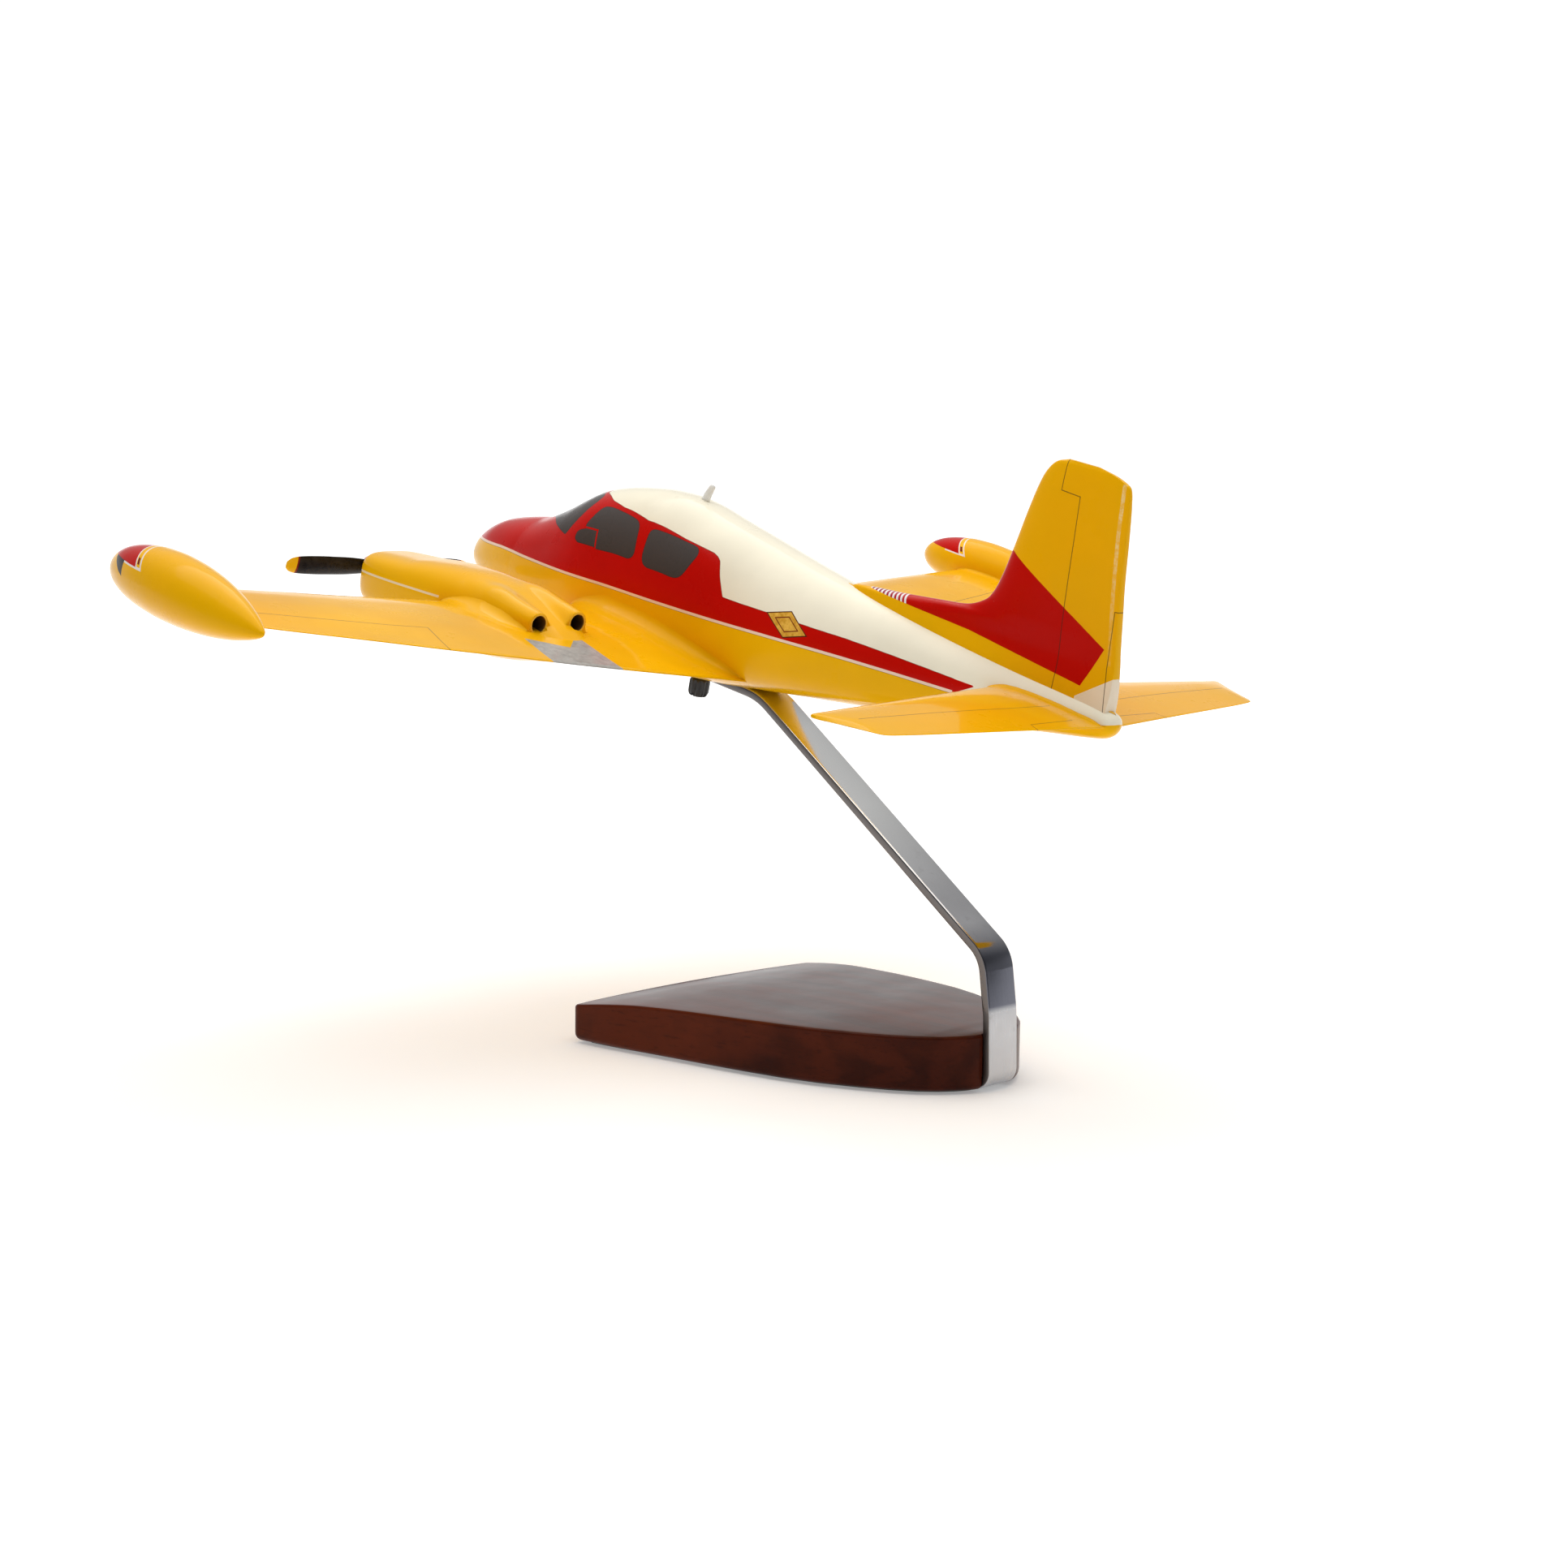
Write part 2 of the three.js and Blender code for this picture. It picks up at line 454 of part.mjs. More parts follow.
// rounds the corners of a path; the bar lies to the right of its travel
function bentPath(line) {
  const out = [];
  line.forEach(([y, z, r], i) => {
    if (!r) { out.push({ p: [y, z], n: null, i }); return; }
    const P = new THREE.Vector2(y, z);
    const A = new THREE.Vector2(line[i - 1][0], line[i - 1][1]).sub(P).normalize();
    const B = new THREE.Vector2(line[i + 1][0], line[i + 1][1]).sub(P).normalize();
    const half = Math.acos(A.dot(B)) / 2;
    const d = r / Math.tan(half);
    const C = P.clone().add(A.clone().add(B).normalize().multiplyScalar(r / Math.sin(half)));
    const s = P.clone().add(A.clone().multiplyScalar(d)).sub(C);
    const e = P.clone().add(B.clone().multiplyScalar(d)).sub(C);
    let turn = Math.atan2(e.y, e.x) - Math.atan2(s.y, s.x);
    while (turn > Math.PI) turn -= 2 * Math.PI;
    while (turn < -Math.PI) turn += 2 * Math.PI;
    const steps = Math.max(4, Math.round(Math.abs(turn) / 0.16));
    for (let k = 0; k <= steps; k++) {
      const a = Math.atan2(s.y, s.x) + (turn * k) / steps;
      out.push({ p: [C.x + r * Math.cos(a), C.y + r * Math.sin(a)], c: [C.x, C.y], r });
    }
  });
  return out;
}
function armAt(off) {
  const path = bentPath(ARM_LINE);
  const n = path.length;
  const normals = path.map((q, i) => {
    if (q.c) return [(q.c[0] - q.p[0]) / q.r, (q.c[1] - q.p[1]) / q.r];
    const j = i === 0 ? 1 : n - 2;
    const d = i === 0 ? [path[j].p[0] - q.p[0], path[j].p[1] - q.p[1]] : [q.p[0] - path[j].p[0], q.p[1] - path[j].p[1]];
    const L = Math.hypot(...d);
    return [d[1] / L, -d[0] / L];
  });
  const outer = path.map((q, i) => [q.p[0] - normals[i][0] * off, q.p[1] - normals[i][1] * off]);
  const inner = path.map((q, i) => [q.p[0] + normals[i][0] * (ARM_T + off), q.p[1] + normals[i][1] * (ARM_T + off)]);
  const hw = ARM_W / 2 + off, e = off ? 0 : 0.5;
  const rings = path.map((_, i) => {
    const [oy, oz] = outer[i], [iy, iz] = inner[i];
    const m = (f) => [lerp(oy, iy, f), lerp(oz, iz, f)];
    const f = e / ARM_T;
    const ring = [[hw - e, ...m(0)], [hw, ...m(f)], [hw, ...m(1 - f)], [hw - e, ...m(1)],
      [-hw + e, ...m(1)], [-hw, ...m(1 - f)], [-hw, ...m(f)], [-hw + e, ...m(0)]];
    return off ? [[hw, ...m(0)], [hw, ...m(1)], [-hw, ...m(1)], [-hw, ...m(0)]] : ring;
  });
  return loft(rings);
}
const screwHole = rod([0, SCREW_Y, -40], [0, SCREW_Y, 0], STUD_R + 0.3, 24);
screwHole.applyMatrix4(toRow);
const FOOT_SCREWS = [46, 60];
const countersink = (y) => join(rod([0, y, FOOT_Z - 1], [0, y, FOOT_Z + 8], 1.8, 20),
  rod([0, y, FOOT_Z - 0.6], [0, y, FOOT_Z + 2.3], 4.6, 24, 1.7));
const arm = cut(armAt(0), screwHole, ...FOOT_SCREWS.map(countersink));

// ---------------------------------------------------------------- base block and felt
const BASE = [ // distance aft, half width, top height at the edge
  [-78.6, 20, 14.6], [-78.2, 36, 14.6], [-77.3, 54, 14.6], [-76.2, 62.0, 14.6], [-74.2, 63.4, 14.9],
  [-70, 63.0, 15.5], [-64, 62.4, 16.4], [-56, 61.4, 17.4], [-45, 59.6, 18.5], [-30, 57.3, 19.3], [-14, 55.0, 19.9],
  [2, 52.4, 20.3], [18, 49.2, 20.6], [32, 45.0, 20.7], [46, 39.0, 20.7], [57, 33.2, 20.7],
  [65, 27.6, 20.7], [71, 21.8, 20.6], [74.8, 16.4, 20.6], [77.0, 12.4, 20.5], [BASE_REAR_Y, 9.0, 20.4],
];
function baseRing([y, hw, top]) {
  const r = 1.2, b = 2.3 + 0.7 * Math.min(1, Math.max(0, (-44 - y) / 24));
  const half = [[0.35, top + 0.5], [0.72, top + 0.25]].map(([f, z]) => [(hw - r) * f, z]);
  half.push([hw - r, top], [hw - r * 0.45, top - r * 0.22], [hw - r * 0.12, top - r * 0.62], [hw, top - r * 1.25],
    [hw, BASE_BOTTOM + b], [hw - b * 0.3, BASE_BOTTOM + b * 0.3], [hw - b, BASE_BOTTOM]);
  return [...half.map(([x, z]) => [x, y, z]), ...half.slice().reverse().map(([x, z]) => [-x, y, z])];
}
const base = cut(loft(BASE.map(baseRing)),
  armAt(GAP),
  box(-ARM_W / 2 - GAP, ARM_W / 2 + GAP, 37.7, 90, -1, FOOT_Z + ARM_T + GAP),
  ...FOOT_SCREWS.map((y) => rod([0, y, 0], [0, y, 16.3], 1.5 + GAP, 16)));

function feltGeometry() {
  const ring = (z) => {
    const pts = BASE.map(([y, hw]) => [Math.max(hw - 5, 4), Math.min(Math.max(y, -73.0), 73.6)])
      .filter(([, y], i, a) => i === 0 || y > a[i - 1][1] + 0.2);
    return [...pts.map(([x, y]) => [x, y, z]), ...pts.slice().reverse().map(([x, y]) => [-x, y, z])];
  };
  return loft([ring(0), ring(FELT_T)]);
}
const felt = feltGeometry();

const footScrew = (y) => {
  const s = turned([[0, 0], [3.3, 0], [3.3, 0.25], [1.5, 1.95], [1.5, 13.2], [0.4, 14.8], [0, 14.8]], 24);
  s.rotateX(Math.PI / 2);
  s.translate(0, y, FOOT_Z + 0.05);
  return cut(s, box(-4, 4, y - 0.4, y + 0.4, FOOT_Z - 1, FOOT_Z + 0.85));
};

// ---------------------------------------------------------------- assembly
const root = new THREE.Group();
root.name = 'propeller_plane_model';
const plane = new THREE.Group();
plane.name = 'airplane';
plane.position.set(0, PLANE_Y, PLANE_Z);
plane.rotation.x = -THREE.MathUtils.degToRad(PITCH_DEG);
root.add(plane);

const FINISH = {
  yellow: [0xf2b10c, 0.22, 0.0], red: [0xb5150c, 0.25, 0.0], black: [0x15110f, 0.35, 0.0],
  steel: [0xb8b8ba, 0.25, 0.9], brass: [0xc7a252, 0.3, 0.9], wood: [0x45180f, 0.3, 0.0],
  dowel: [0xd7b98a, 0.7, 0.0], felt: [0x1f3a26, 0.95, 0.0], white: [0xeeece4, 0.35, 0.0],
};
function add(group, name, g, finish) {
  const [color, roughness, metalness] = FINISH[finish];
  const geo = g.clone();
  geo.deleteAttribute('uv');
  geo.computeVertexNormals();
  const mesh = new THREE.Mesh(geo, new THREE.MeshStandardMaterial({ color, roughness, metalness, flatShading: true }));
  mesh.name = name;
  group.add(mesh);
}

add(root, 'base_block', base, 'wood');
add(root, 'felt_pad', felt, 'felt');
add(root, 'display_arm', arm, 'steel');
FOOT_SCREWS.forEach((y, i) => add(root, `arm_foot_screw_${i === 0 ? 'front' : 'rear'}`, footScrew(y), 'brass'));

add(plane, 'fuselage', fuselage, 'yellow');
add(plane, 'tail_fin', fin, 'yellow');
add(plane, 'roof_antenna', antennaAt(0), 'white');
add(plane, 'fin_dowel_front', finDowels[0], 'dowel');
add(plane, 'fin_dowel_rear', finDowels[1], 'dowel');
add(plane, 'stabilizer_dowel', stabDowel, 'dowel');
add(plane, 'threaded_insert', insert, 'brass');
add(plane, 'thumbscrew_washer', washer, 'steel');
add(plane, 'thumbscrew_stud', stud, 'steel');
add(plane, 'thumbscrew_knob', knob, 'black');

const SIDE_FINISH = {
  wing: 'yellow', nacelle: 'yellow', tip_tank: 'yellow', stabilizer: 'yellow', propeller: 'black', spinner: 'red',
  prop_shaft: 'steel', prop_washer: 'steel', front_wing_dowel: 'dowel', rear_wing_dowel: 'dowel', tank_dowel: 'dowel',
};
for (const [key, g] of Object.entries(port)) {
  const whole = cut(g);
  add(plane, `port_${key}`, whole, SIDE_FINISH[key]);
  add(plane, `starboard_${key}`, mirrored(whole), SIDE_FINISH[key]);
}

root.updateMatrixWorld(true);
export default root;
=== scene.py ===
"""Looks of the propeller plane model: a lacquered wooden light twin on a bent steel arm and a mahogany base.

Lengths in the tables are millimetres. X is to port, v runs aft and w up in the airplane's own frame,
which is pitched nose-up on its stand; to_row() takes that frame to the row frame in metres.
"""
import math

import bmesh
import bpy
import numpy as np
from mathutils import Matrix, Vector


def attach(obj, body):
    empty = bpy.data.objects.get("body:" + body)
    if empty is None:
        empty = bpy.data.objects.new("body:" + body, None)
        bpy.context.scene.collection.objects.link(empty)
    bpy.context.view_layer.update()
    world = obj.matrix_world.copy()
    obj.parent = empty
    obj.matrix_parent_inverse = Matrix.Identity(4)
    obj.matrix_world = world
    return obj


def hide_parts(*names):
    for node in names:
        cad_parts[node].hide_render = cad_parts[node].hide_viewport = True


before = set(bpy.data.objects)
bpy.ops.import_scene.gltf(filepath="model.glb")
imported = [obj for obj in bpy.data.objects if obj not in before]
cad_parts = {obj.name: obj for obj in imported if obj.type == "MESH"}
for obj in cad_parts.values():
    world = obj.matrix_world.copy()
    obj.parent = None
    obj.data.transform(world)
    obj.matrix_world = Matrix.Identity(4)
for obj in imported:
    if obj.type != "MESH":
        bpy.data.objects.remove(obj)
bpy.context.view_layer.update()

ROOT = "stand_and_airplane"
PHI = math.radians(12.5)
PLANE_Y, PLANE_Z = -62.35, 161.0
CP, SP = math.cos(PHI), math.sin(PHI)


# ------------------------------------------------------------------ helpers: frames and tables
def to_row(P):
    P = np.asarray(P, float)
    x, v, w = P[..., 0], P[..., 1], P[..., 2]
    return np.stack([x, v * CP + w * SP + PLANE_Y, -v * SP + w * CP + PLANE_Z], -1) / 1000.0


def pchip(xs, ys, q):
    xs, ys, q = (np.asarray(a, float) for a in (xs, ys, q))
    h = np.diff(xs)
    d = np.diff(ys) / h
    m = np.zeros(len(xs))
    m[0], m[-1] = d[0], d[-1]
    a, b = d[:-1], d[1:]
    ok = a * b > 0
    m[1:-1][ok] = 2 * a[ok] * b[ok] / (a[ok] + b[ok])
    i = np.clip(np.searchsorted(xs, q) - 1, 0, len(h) - 1)
    t = np.clip((q - xs[i]) / h[i], 0, 1)
    t2, t3 = t * t, t * t * t
    return ((2 * t3 - 3 * t2 + 1) * ys[i] + (t3 - 2 * t2 + t) * h[i] * m[i]
            + (-2 * t3 + 3 * t2) * ys[i + 1] + (t3 - t2) * h[i] * m[i + 1])


def soften(a, passes):
    a = np.array(a, float)
    for _ in range(passes):
        b = a.copy()
        b[1:-1] = 0.25 * a[:-2] + 0.5 * a[1:-1] + 0.25 * a[2:]
        a = b
    return a


class Stations:
    """A table of rows along a body, read smoothly, with round ends."""

    def __init__(self, rows):
        self.r = np.array(rows, float)
        self.v0, self.v1 = self.r[0, 0], self.r[-1, 0]
        self.th = self.angle(self.r[:, 0])

    def angle(self, v):
        return np.arccos(np.clip(1 - 2 * (np.asarray(v, float) - self.v0) / (self.v1 - self.v0), -1, 1))

    def at(self, v, col):
        return pchip(self.th, self.r[:, col], self.angle(v))

    def all(self, v):
        return [self.at(v, c) for c in range(1, self.r.shape[1])]


def round_ends(v0, v1, n, dense=None):
    """n stations from v0 to v1, closer together towards the ends; dense=(a, b, weight) adds more there."""
    th = np.linspace(0, math.pi, 4001)
    v = v0 + (v1 - v0) * (1 - np.cos(th)) / 2
    density = 1.0 / np.maximum(np.gradient(v), 1e-9)
    density = np.clip(density / density.min(), 1, 60)
    if dense:
        a, b, k = dense
        density = density * np.where((v > a) & (v < b), k, 1.0)
    c = np.concatenate([[0], np.cumsum(0.5 * (density[1:] + density[:-1]) * np.diff(v))])
    c /= c[-1]
    return np.interp(np.linspace(0, 1, n), c, v)


def egg(ang, a, t, b, c, nu, nl):
    """Points of an egg section at parameter angles ang; all others may be arrays over stations."""
    cs, sn = np.cos(ang), np.sin(ang)
    n = np.where(sn >= 0, nu, nl)
    h = np.where(sn >= 0, t - c, c - b)
    return a * np.sign(cs) * np.abs(cs) ** (2 / n), c + h * np.sign(sn) * np.abs(sn) ** (2 / n)


# ------------------------------------------------------------------ helpers: meshes
def new_object(name, verts, faces, attrs=None, sharp=None):
    me = bpy.data.meshes.new(name)
    me.from_pydata([tuple(p) for p in verts], [], [tuple(f) for f in faces])
    me.validate()
    me.update()
    for key, values in (attrs or {}).items():
        at = me.attributes.new(key, "FLOAT", "POINT")
        at.data.foreach_set("value", np.asarray(values, np.float32))
    me.polygons.foreach_set("use_smooth", np.ones(len(me.polygons), bool))
    if sharp:
        me.set_sharp_from_angle(angle=math.radians(sharp))
    o = bpy.data.objects.new(name, me)
    bpy.context.scene.collection.objects.link(o)
    return o


def volume(V, faces):
    s = 0.0
    for f in faces:
        a = V[f[0]]
        for i in range(1, len(f) - 1):
            s += float(np.dot(a, np.cross(V[f[i]], V[f[i + 1]])))
    return s


def grid(name, G, attrs=None, sharp=None, mirror=False):
    """Closed solid through rings of points G (n, m, 3), in metres, each end closed on a centre point."""
    G = np.array(G, float)
    if mirror:
        G = G * np.array([-1.0, 1, 1])
    n, m, _ = G.shape
    V = np.concatenate([G.reshape(-1, 3), G[0].mean(0)[None], G[-1].mean(0)[None]])
    i, j = np.meshgrid(np.arange(n - 1), np.arange(m), indexing="ij")
    k = (j + 1) % m
    quads = np.stack([i * m + j, i * m + k, (i + 1) * m + k, (i + 1) * m + j], -1).reshape(-1, 4)
    j = np.arange(m)
    k = (j + 1) % m
    a, b = n * m, n * m + 1
    fan0 = np.stack([np.full(m, a), k, j], -1)
    last = (n - 1) * m
    fan1 = np.stack([np.full(m, b), last + j, last + k], -1)
    Q = V[quads]
    T = lambda A, B, C: np.einsum("ij,ij->i", A, np.cross(B, C)).sum()
    vol = T(Q[:, 0], Q[:, 1], Q[:, 2]) + T(Q[:, 0], Q[:, 2], Q[:, 3])
    for F in (fan0, fan1):
        P = V[F]
        vol += T(P[:, 0], P[:, 1], P[:, 2])
    faces = quads.tolist() + fan0.tolist() + fan1.tolist()
    if vol < 0:
        faces = [f[::-1] for f in faces]
    A = {}
    for key, val in (attrs or {}).items():
        val = np.asarray(val, float).reshape(n, m)
        A[key] = np.concatenate([val.ravel(), [val[0].mean()], [val[-1].mean()]])
    return new_object(name, V, faces, A, sharp)


def apply_all(o):
    bpy.context.view_layer.update()
    dg = bpy.context.evaluated_depsgraph_get()
    me = bpy.data.meshes.new_from_object(o.evaluated_get(dg))
    old = o.data
    o.modifiers.clear()
    o.data = me
    bpy.data.meshes.remove(old)
    return o


def subtract(o, *tools, keep=False):
    for t in tools:
        b = o.modifiers.new("cut", "BOOLEAN")
        b.operation = "DIFFERENCE"
        b.solver = "EXACT"
        b.object = t
    apply_all(o)
    if not keep:
        for t in tools:
            bpy.data.objects.remove(t)
    return o


def lathe(rows, seg, centre, axis=(0, 1, 0), name="tool", sharp=40, attrs=None, modulate=None):
    """Turned solid; rows of [radius, distance along the axis], both in mm, in the airplane frame."""
    ax = Vector(axis).normalized()
    u = ax.orthogonal().normalized()
    w = ax.cross(u)
    c = np.array(centre, float)
    th = np.arange(seg) / seg * 2 * math.pi
    G = []
    for r, h in rows:
        rr = np.full(seg, r, float)
        if modulate is not None:
            rr = modulate(rr, th, h)
        G.append(c + np.outer(rr * np.cos(th), np.array(u)) + np.outer(rr * np.sin(th), np.array(w)) + np.array(ax) * h)
    return grid(name, to_row(np.array(G)), sharp=sharp)


def torus_grid(name, G, sharp=40):
    """Ring of closed sections: wraps round in both directions. G is (n, m, 3) in the airplane frame."""
    P = to_row(np.array(G, float))
    n, m_, _ = P.shape
    i, j = np.meshgrid(np.arange(n), np.arange(m_), indexing="ij")
    i2, j2 = (i + 1) % n, (j + 1) % m_
    q = np.stack([i * m_ + j, i * m_ + j2, i2 * m_ + j2, i2 * m_ + j], -1).reshape(-1, 4)
    V_ = P.reshape(-1, 3)
    Q = V_[q]
    T = lambda A, B, C: np.einsum("ij,ij->i", A, np.cross(B, C)).sum()
    if T(Q[:, 0], Q[:, 1], Q[:, 2]) + T(Q[:, 0], Q[:, 2], Q[:, 3]) < 0:
        q = q[:, ::-1]
    return new_object(name, V_, q.tolist(), None, sharp)


def turned_ring(rows, seg, centre, name, sharp=40):
    """Turned piece with a bore along v: closed profile of [radius, distance aft]."""
    th = np.arange(seg) / seg * 2 * math.pi
    G = [np.stack([centre[0] + r * np.cos(th), np.full(seg, centre[1] + h), centre[2] + r * np.sin(th)], 1) for r, h in rows]
    return torus_grid(name, G, sharp)


def arc(c, r, a0, a1, n):
    """Corner points of a turned profile: centre (radius, height), from angle a0 to a1 in degrees."""
    return [[c[0] + r * math.cos(math.radians(a)), c[1] + r * math.sin(math.radians(a))] for a in np.linspace(a0, a1, n)]


# ------------------------------------------------------------------ helpers: materials
class Mat:
    """A small node writer; each method adds a node and returns its output."""

    def __init__(self, name):
        self.m = bpy.data.materials.new(name)
        self.m.use_nodes = True
        self.t = self.m.node_tree
        self.t.nodes.clear()
        self.out = self.t.nodes.new("ShaderNodeOutputMaterial")
        self.p = self.t.nodes.new("ShaderNodeBsdfPrincipled")
        self.t.links.new(self.p.outputs[0], self.out.inputs["Surface"])

    def node(self, kind, **props):
        n = self.t.nodes.new(kind)
        for k, v in props.items():
            setattr(n, k, v)
        return n

    def link(self, a, b):
        if isinstance(a, (int, float)):
            b.default_value = a
        elif isinstance(a, (tuple, list)):
            b.default_value = (*a, 1.0) if len(b.default_value) == 4 and len(a) == 3 else a
        else:
            self.t.links.new(a, b)

    def math(self, op, a, b=0.0, c=0.0, clamp=False):
        n = self.node("ShaderNodeMath", operation=op, use_clamp=clamp)
        self.link(a, n.inputs[0])
        self.link(b, n.inputs[1])
        self.link(c, n.inputs[2])
        return n.outputs[0]

    def attr(self, name):
        n = self.node("ShaderNodeAttribute", attribute_name=name)
        return n.outputs["Fac"]

    def obj(self):
        if not hasattr(self, "_obj"):
            self._obj = self.node("ShaderNodeTexCoord").outputs["Object"]
        return self._obj

    def local(self):
        """Airplane-frame coordinates in mm: X, v, w."""
        if not hasattr(self, "_loc"):
            s = self.node("ShaderNodeVectorMath", operation="SUBTRACT")
            self.link(self.obj(), s.inputs[0])
            s.inputs[1].default_value = (0, PLANE_Y / 1000, PLANE_Z / 1000)
            mp = self.node("ShaderNodeMapping")
            mp.inputs["Rotation"].default_value = (PHI, 0, 0)
            mp.inputs["Scale"].default_value = (1000, 1000, 1000)
            # the scale comes first in this node, and is uniform
            self.link(s.outputs[0], mp.inputs["Vector"])
            sx = self.node("ShaderNodeSeparateXYZ")
            self.link(mp.outputs[0], sx.inputs[0])
            self._loc = (sx.outputs[0], sx.outputs[1], sx.outputs[2], mp.outputs[0])
        return self._loc

    def xyz(self, x, y, z=0.0):
        n = self.node("ShaderNodeCombineXYZ")
        for i, a in enumerate((x, y, z)):
            self.link(a, n.inputs[i])
        return n.outputs[0]

    def noise(self, scale, detail=2.0, rough=0.5, vec=None, dist=0.0):
        n = self.node("ShaderNodeTexNoise")
        self.link(vec if vec is not None else self.obj(), n.inputs["Vector"])
        n.inputs["Scale"].default_value = scale
        n.inputs["Detail"].default_value = detail
        n.inputs["Roughness"].default_value = rough
        n.inputs["Distortion"].default_value = dist
        return n.outputs["Fac"]

    def rng(self, v, a, b, c, d, smooth=False):
        n = self.node("ShaderNodeMapRange", interpolation_type="SMOOTHSTEP" if smooth else "LINEAR")
        self.link(v, n.inputs["Value"])
        for k, x in zip(("From Min", "From Max", "To Min", "To Max"), (a, b, c, d)):
            n.inputs[k].default_value = x
        return n.outputs["Result"]

    def inside(self, d, e=0.035):
        """1 where the signed distance d (mm) is negative."""
        return self.rng(d, -e, e, 1.0, 0.0)

    def mix(self, f, a, b):
        n = self.node("ShaderNodeMix", data_type="RGBA")
        self.link(f, n.inputs["Factor"])
        self.link(a, n.inputs["A"] if False else n.inputs[6])
        self.link(b, n.inputs[7])
        return n.outputs[2]

    def both(self, *masks):
        m = masks[0]
        for x in masks[1:]:
            m = self.math("MULTIPLY", m, x)
        return m

    def either(self, *masks):
        m = masks[0]
        for x in masks[1:]:
            m = self.math("MAXIMUM", m, x)
        return m

    def halfplane(self, u, v, a, b):
        """Signed distance from the line a to b, positive to the right of travel."""
        dx, dy = b[0] - a[0], b[1] - a[1]
        L = math.hypot(dx, dy)
        nx, ny = dy / L, -dx / L
        t = self.math("MULTIPLY", u, nx)
        t = self.math("MULTIPLY_ADD", v, ny, t)
        return self.math("ADD", t, -(nx * a[0] + ny * a[1]))

    def polygon(self, u, v, pts, r=0.0):
        """Signed distance of a convex polygon; r rounds its corners."""
        area = sum(p[0] * q[1] - q[0] * p[1] for p, q in zip(pts, pts[1:] + pts[:1]))
        if area < 0:
            pts = pts[::-1]
        d = None
        for p, q in zip(pts, pts[1:] + pts[:1]):
            h = self.halfplane(u, v, p, q)
            if d is None:
                d = h
            elif r:
                d = self.math("SMOOTH_MAX", d, h, r)
            else:
                d = self.math("MAXIMUM", d, h)
        return d

    def line(self, u, v, pts, width):
        """Mask of a polyline of that width."""
        d = None
        for a, b in zip(pts, pts[1:]):
            L = math.hypot(b[0] - a[0], b[1] - a[1])
            tx, ty = (b[0] - a[0]) / L, (b[1] - a[1]) / L
            mx, my = (a[0] + b[0]) / 2, (a[1] + b[1]) / 2
            across = self.math("MULTIPLY_ADD", u, -ty, self.math("MULTIPLY_ADD", v, tx, ty * mx - tx * my))
            along = self.math("MULTIPLY_ADD", u, tx, self.math("MULTIPLY_ADD", v, ty, -tx * mx - ty * my))
            q = self.math("MAXIMUM", self.math("ADD", self.math("ABSOLUTE", across), -width / 2),
                          self.math("ADD", self.math("ABSOLUTE", along), -(L + width) / 2))
            d = q if d is None else self.math("MINIMUM", d, q)
        return self.inside(d, 0.05)

    def bump(self, height, strength, distance):
        n = self.node("ShaderNodeBump")
        n.inputs["Strength"].default_value = strength
        n.inputs["Distance"].default_value = distance
        self.link(height, n.inputs["Height"])
        return n.outputs["Normal"]


YELLOW = (0.93, 0.485, 0.001)
YELLOW_DEEP = (0.89, 0.44, 0.001)
RED = (0.55, 0.004, 0.001)
CREAM = (0.93, 0.87, 0.70)
GLASS = (0.060, 0.050, 0.048)
PEN = (0.10, 0.055, 0.02)
WHITE = (0.88, 0.80, 0.76)
SILVER = (0.42, 0.40, 0.37)


def finish_paint(m, colour, extra_bump=None):
    """Sprayed and rubbed lacquer over wood: slight tone drift, fine orange peel, a clear coat."""
    vec = m.local()[3]
    drift = m.noise(0.02, 3, 0.6, vec=vec)
    tone = m.rng(drift, 0.3, 0.7, 0.93, 1.05)
    hsv = m.node("ShaderNodeHueSaturation")
    m.link(colour, hsv.inputs["Color"])
    m.link(tone, hsv.inputs["Value"])
    speck = m.noise(0.9, 2, 0.5, vec=vec)
    fleck = m.rng(speck, 0.78, 0.84, 0.0, 0.10)
    col = m.mix(fleck, hsv.outputs[0], (0.9, 0.86, 0.78))
    m.link(col, m.p.inputs["Base Color"])
    haze = m.noise(0.06, 4, 0.65, vec=vec)
    m.link(m.rng(haze, 0.3, 0.7, 0.24, 0.36), m.p.inputs["Roughness"])
    m.p.inputs["Specular IOR Level"].default_value = 0.2
    m.p.inputs["IOR"].default_value = 1.22
    rim_gloss = m.node("ShaderNodeLayerWeight")
    rim_gloss.inputs["Blend"].default_value = 0.5
    m.link(m.rng(rim_gloss.outputs["Facing"], 0.34, 0.74, 0.05, 0.60), m.p.inputs["Coat Weight"])
    m.p.inputs["Coat Roughness"].default_value = 0.06
    m.p.inputs["Coat IOR"].default_value = 1.42
    peel = m.noise(0.45, 2, 0.5, vec=vec)
    grit = m.noise(2.2, 2, 0.5, vec=vec)
    h = m.math("MULTIPLY_ADD", grit, 0.18, peel)
    if extra_bump is not None:
        h = m.math("ADD", h, extra_bump)
    nrm = m.bump(h, 0.10, 0.00012)
    m.link(nrm, m.p.inputs["Normal"])
    wave = m.noise(0.12, 1, 0.5, vec=vec)
    m.link(m.bump(m.math("MULTIPLY_ADD", peel, 0.12, wave), 0.07, 0.0006), m.p.inputs["Coat Normal"])
    return m.m


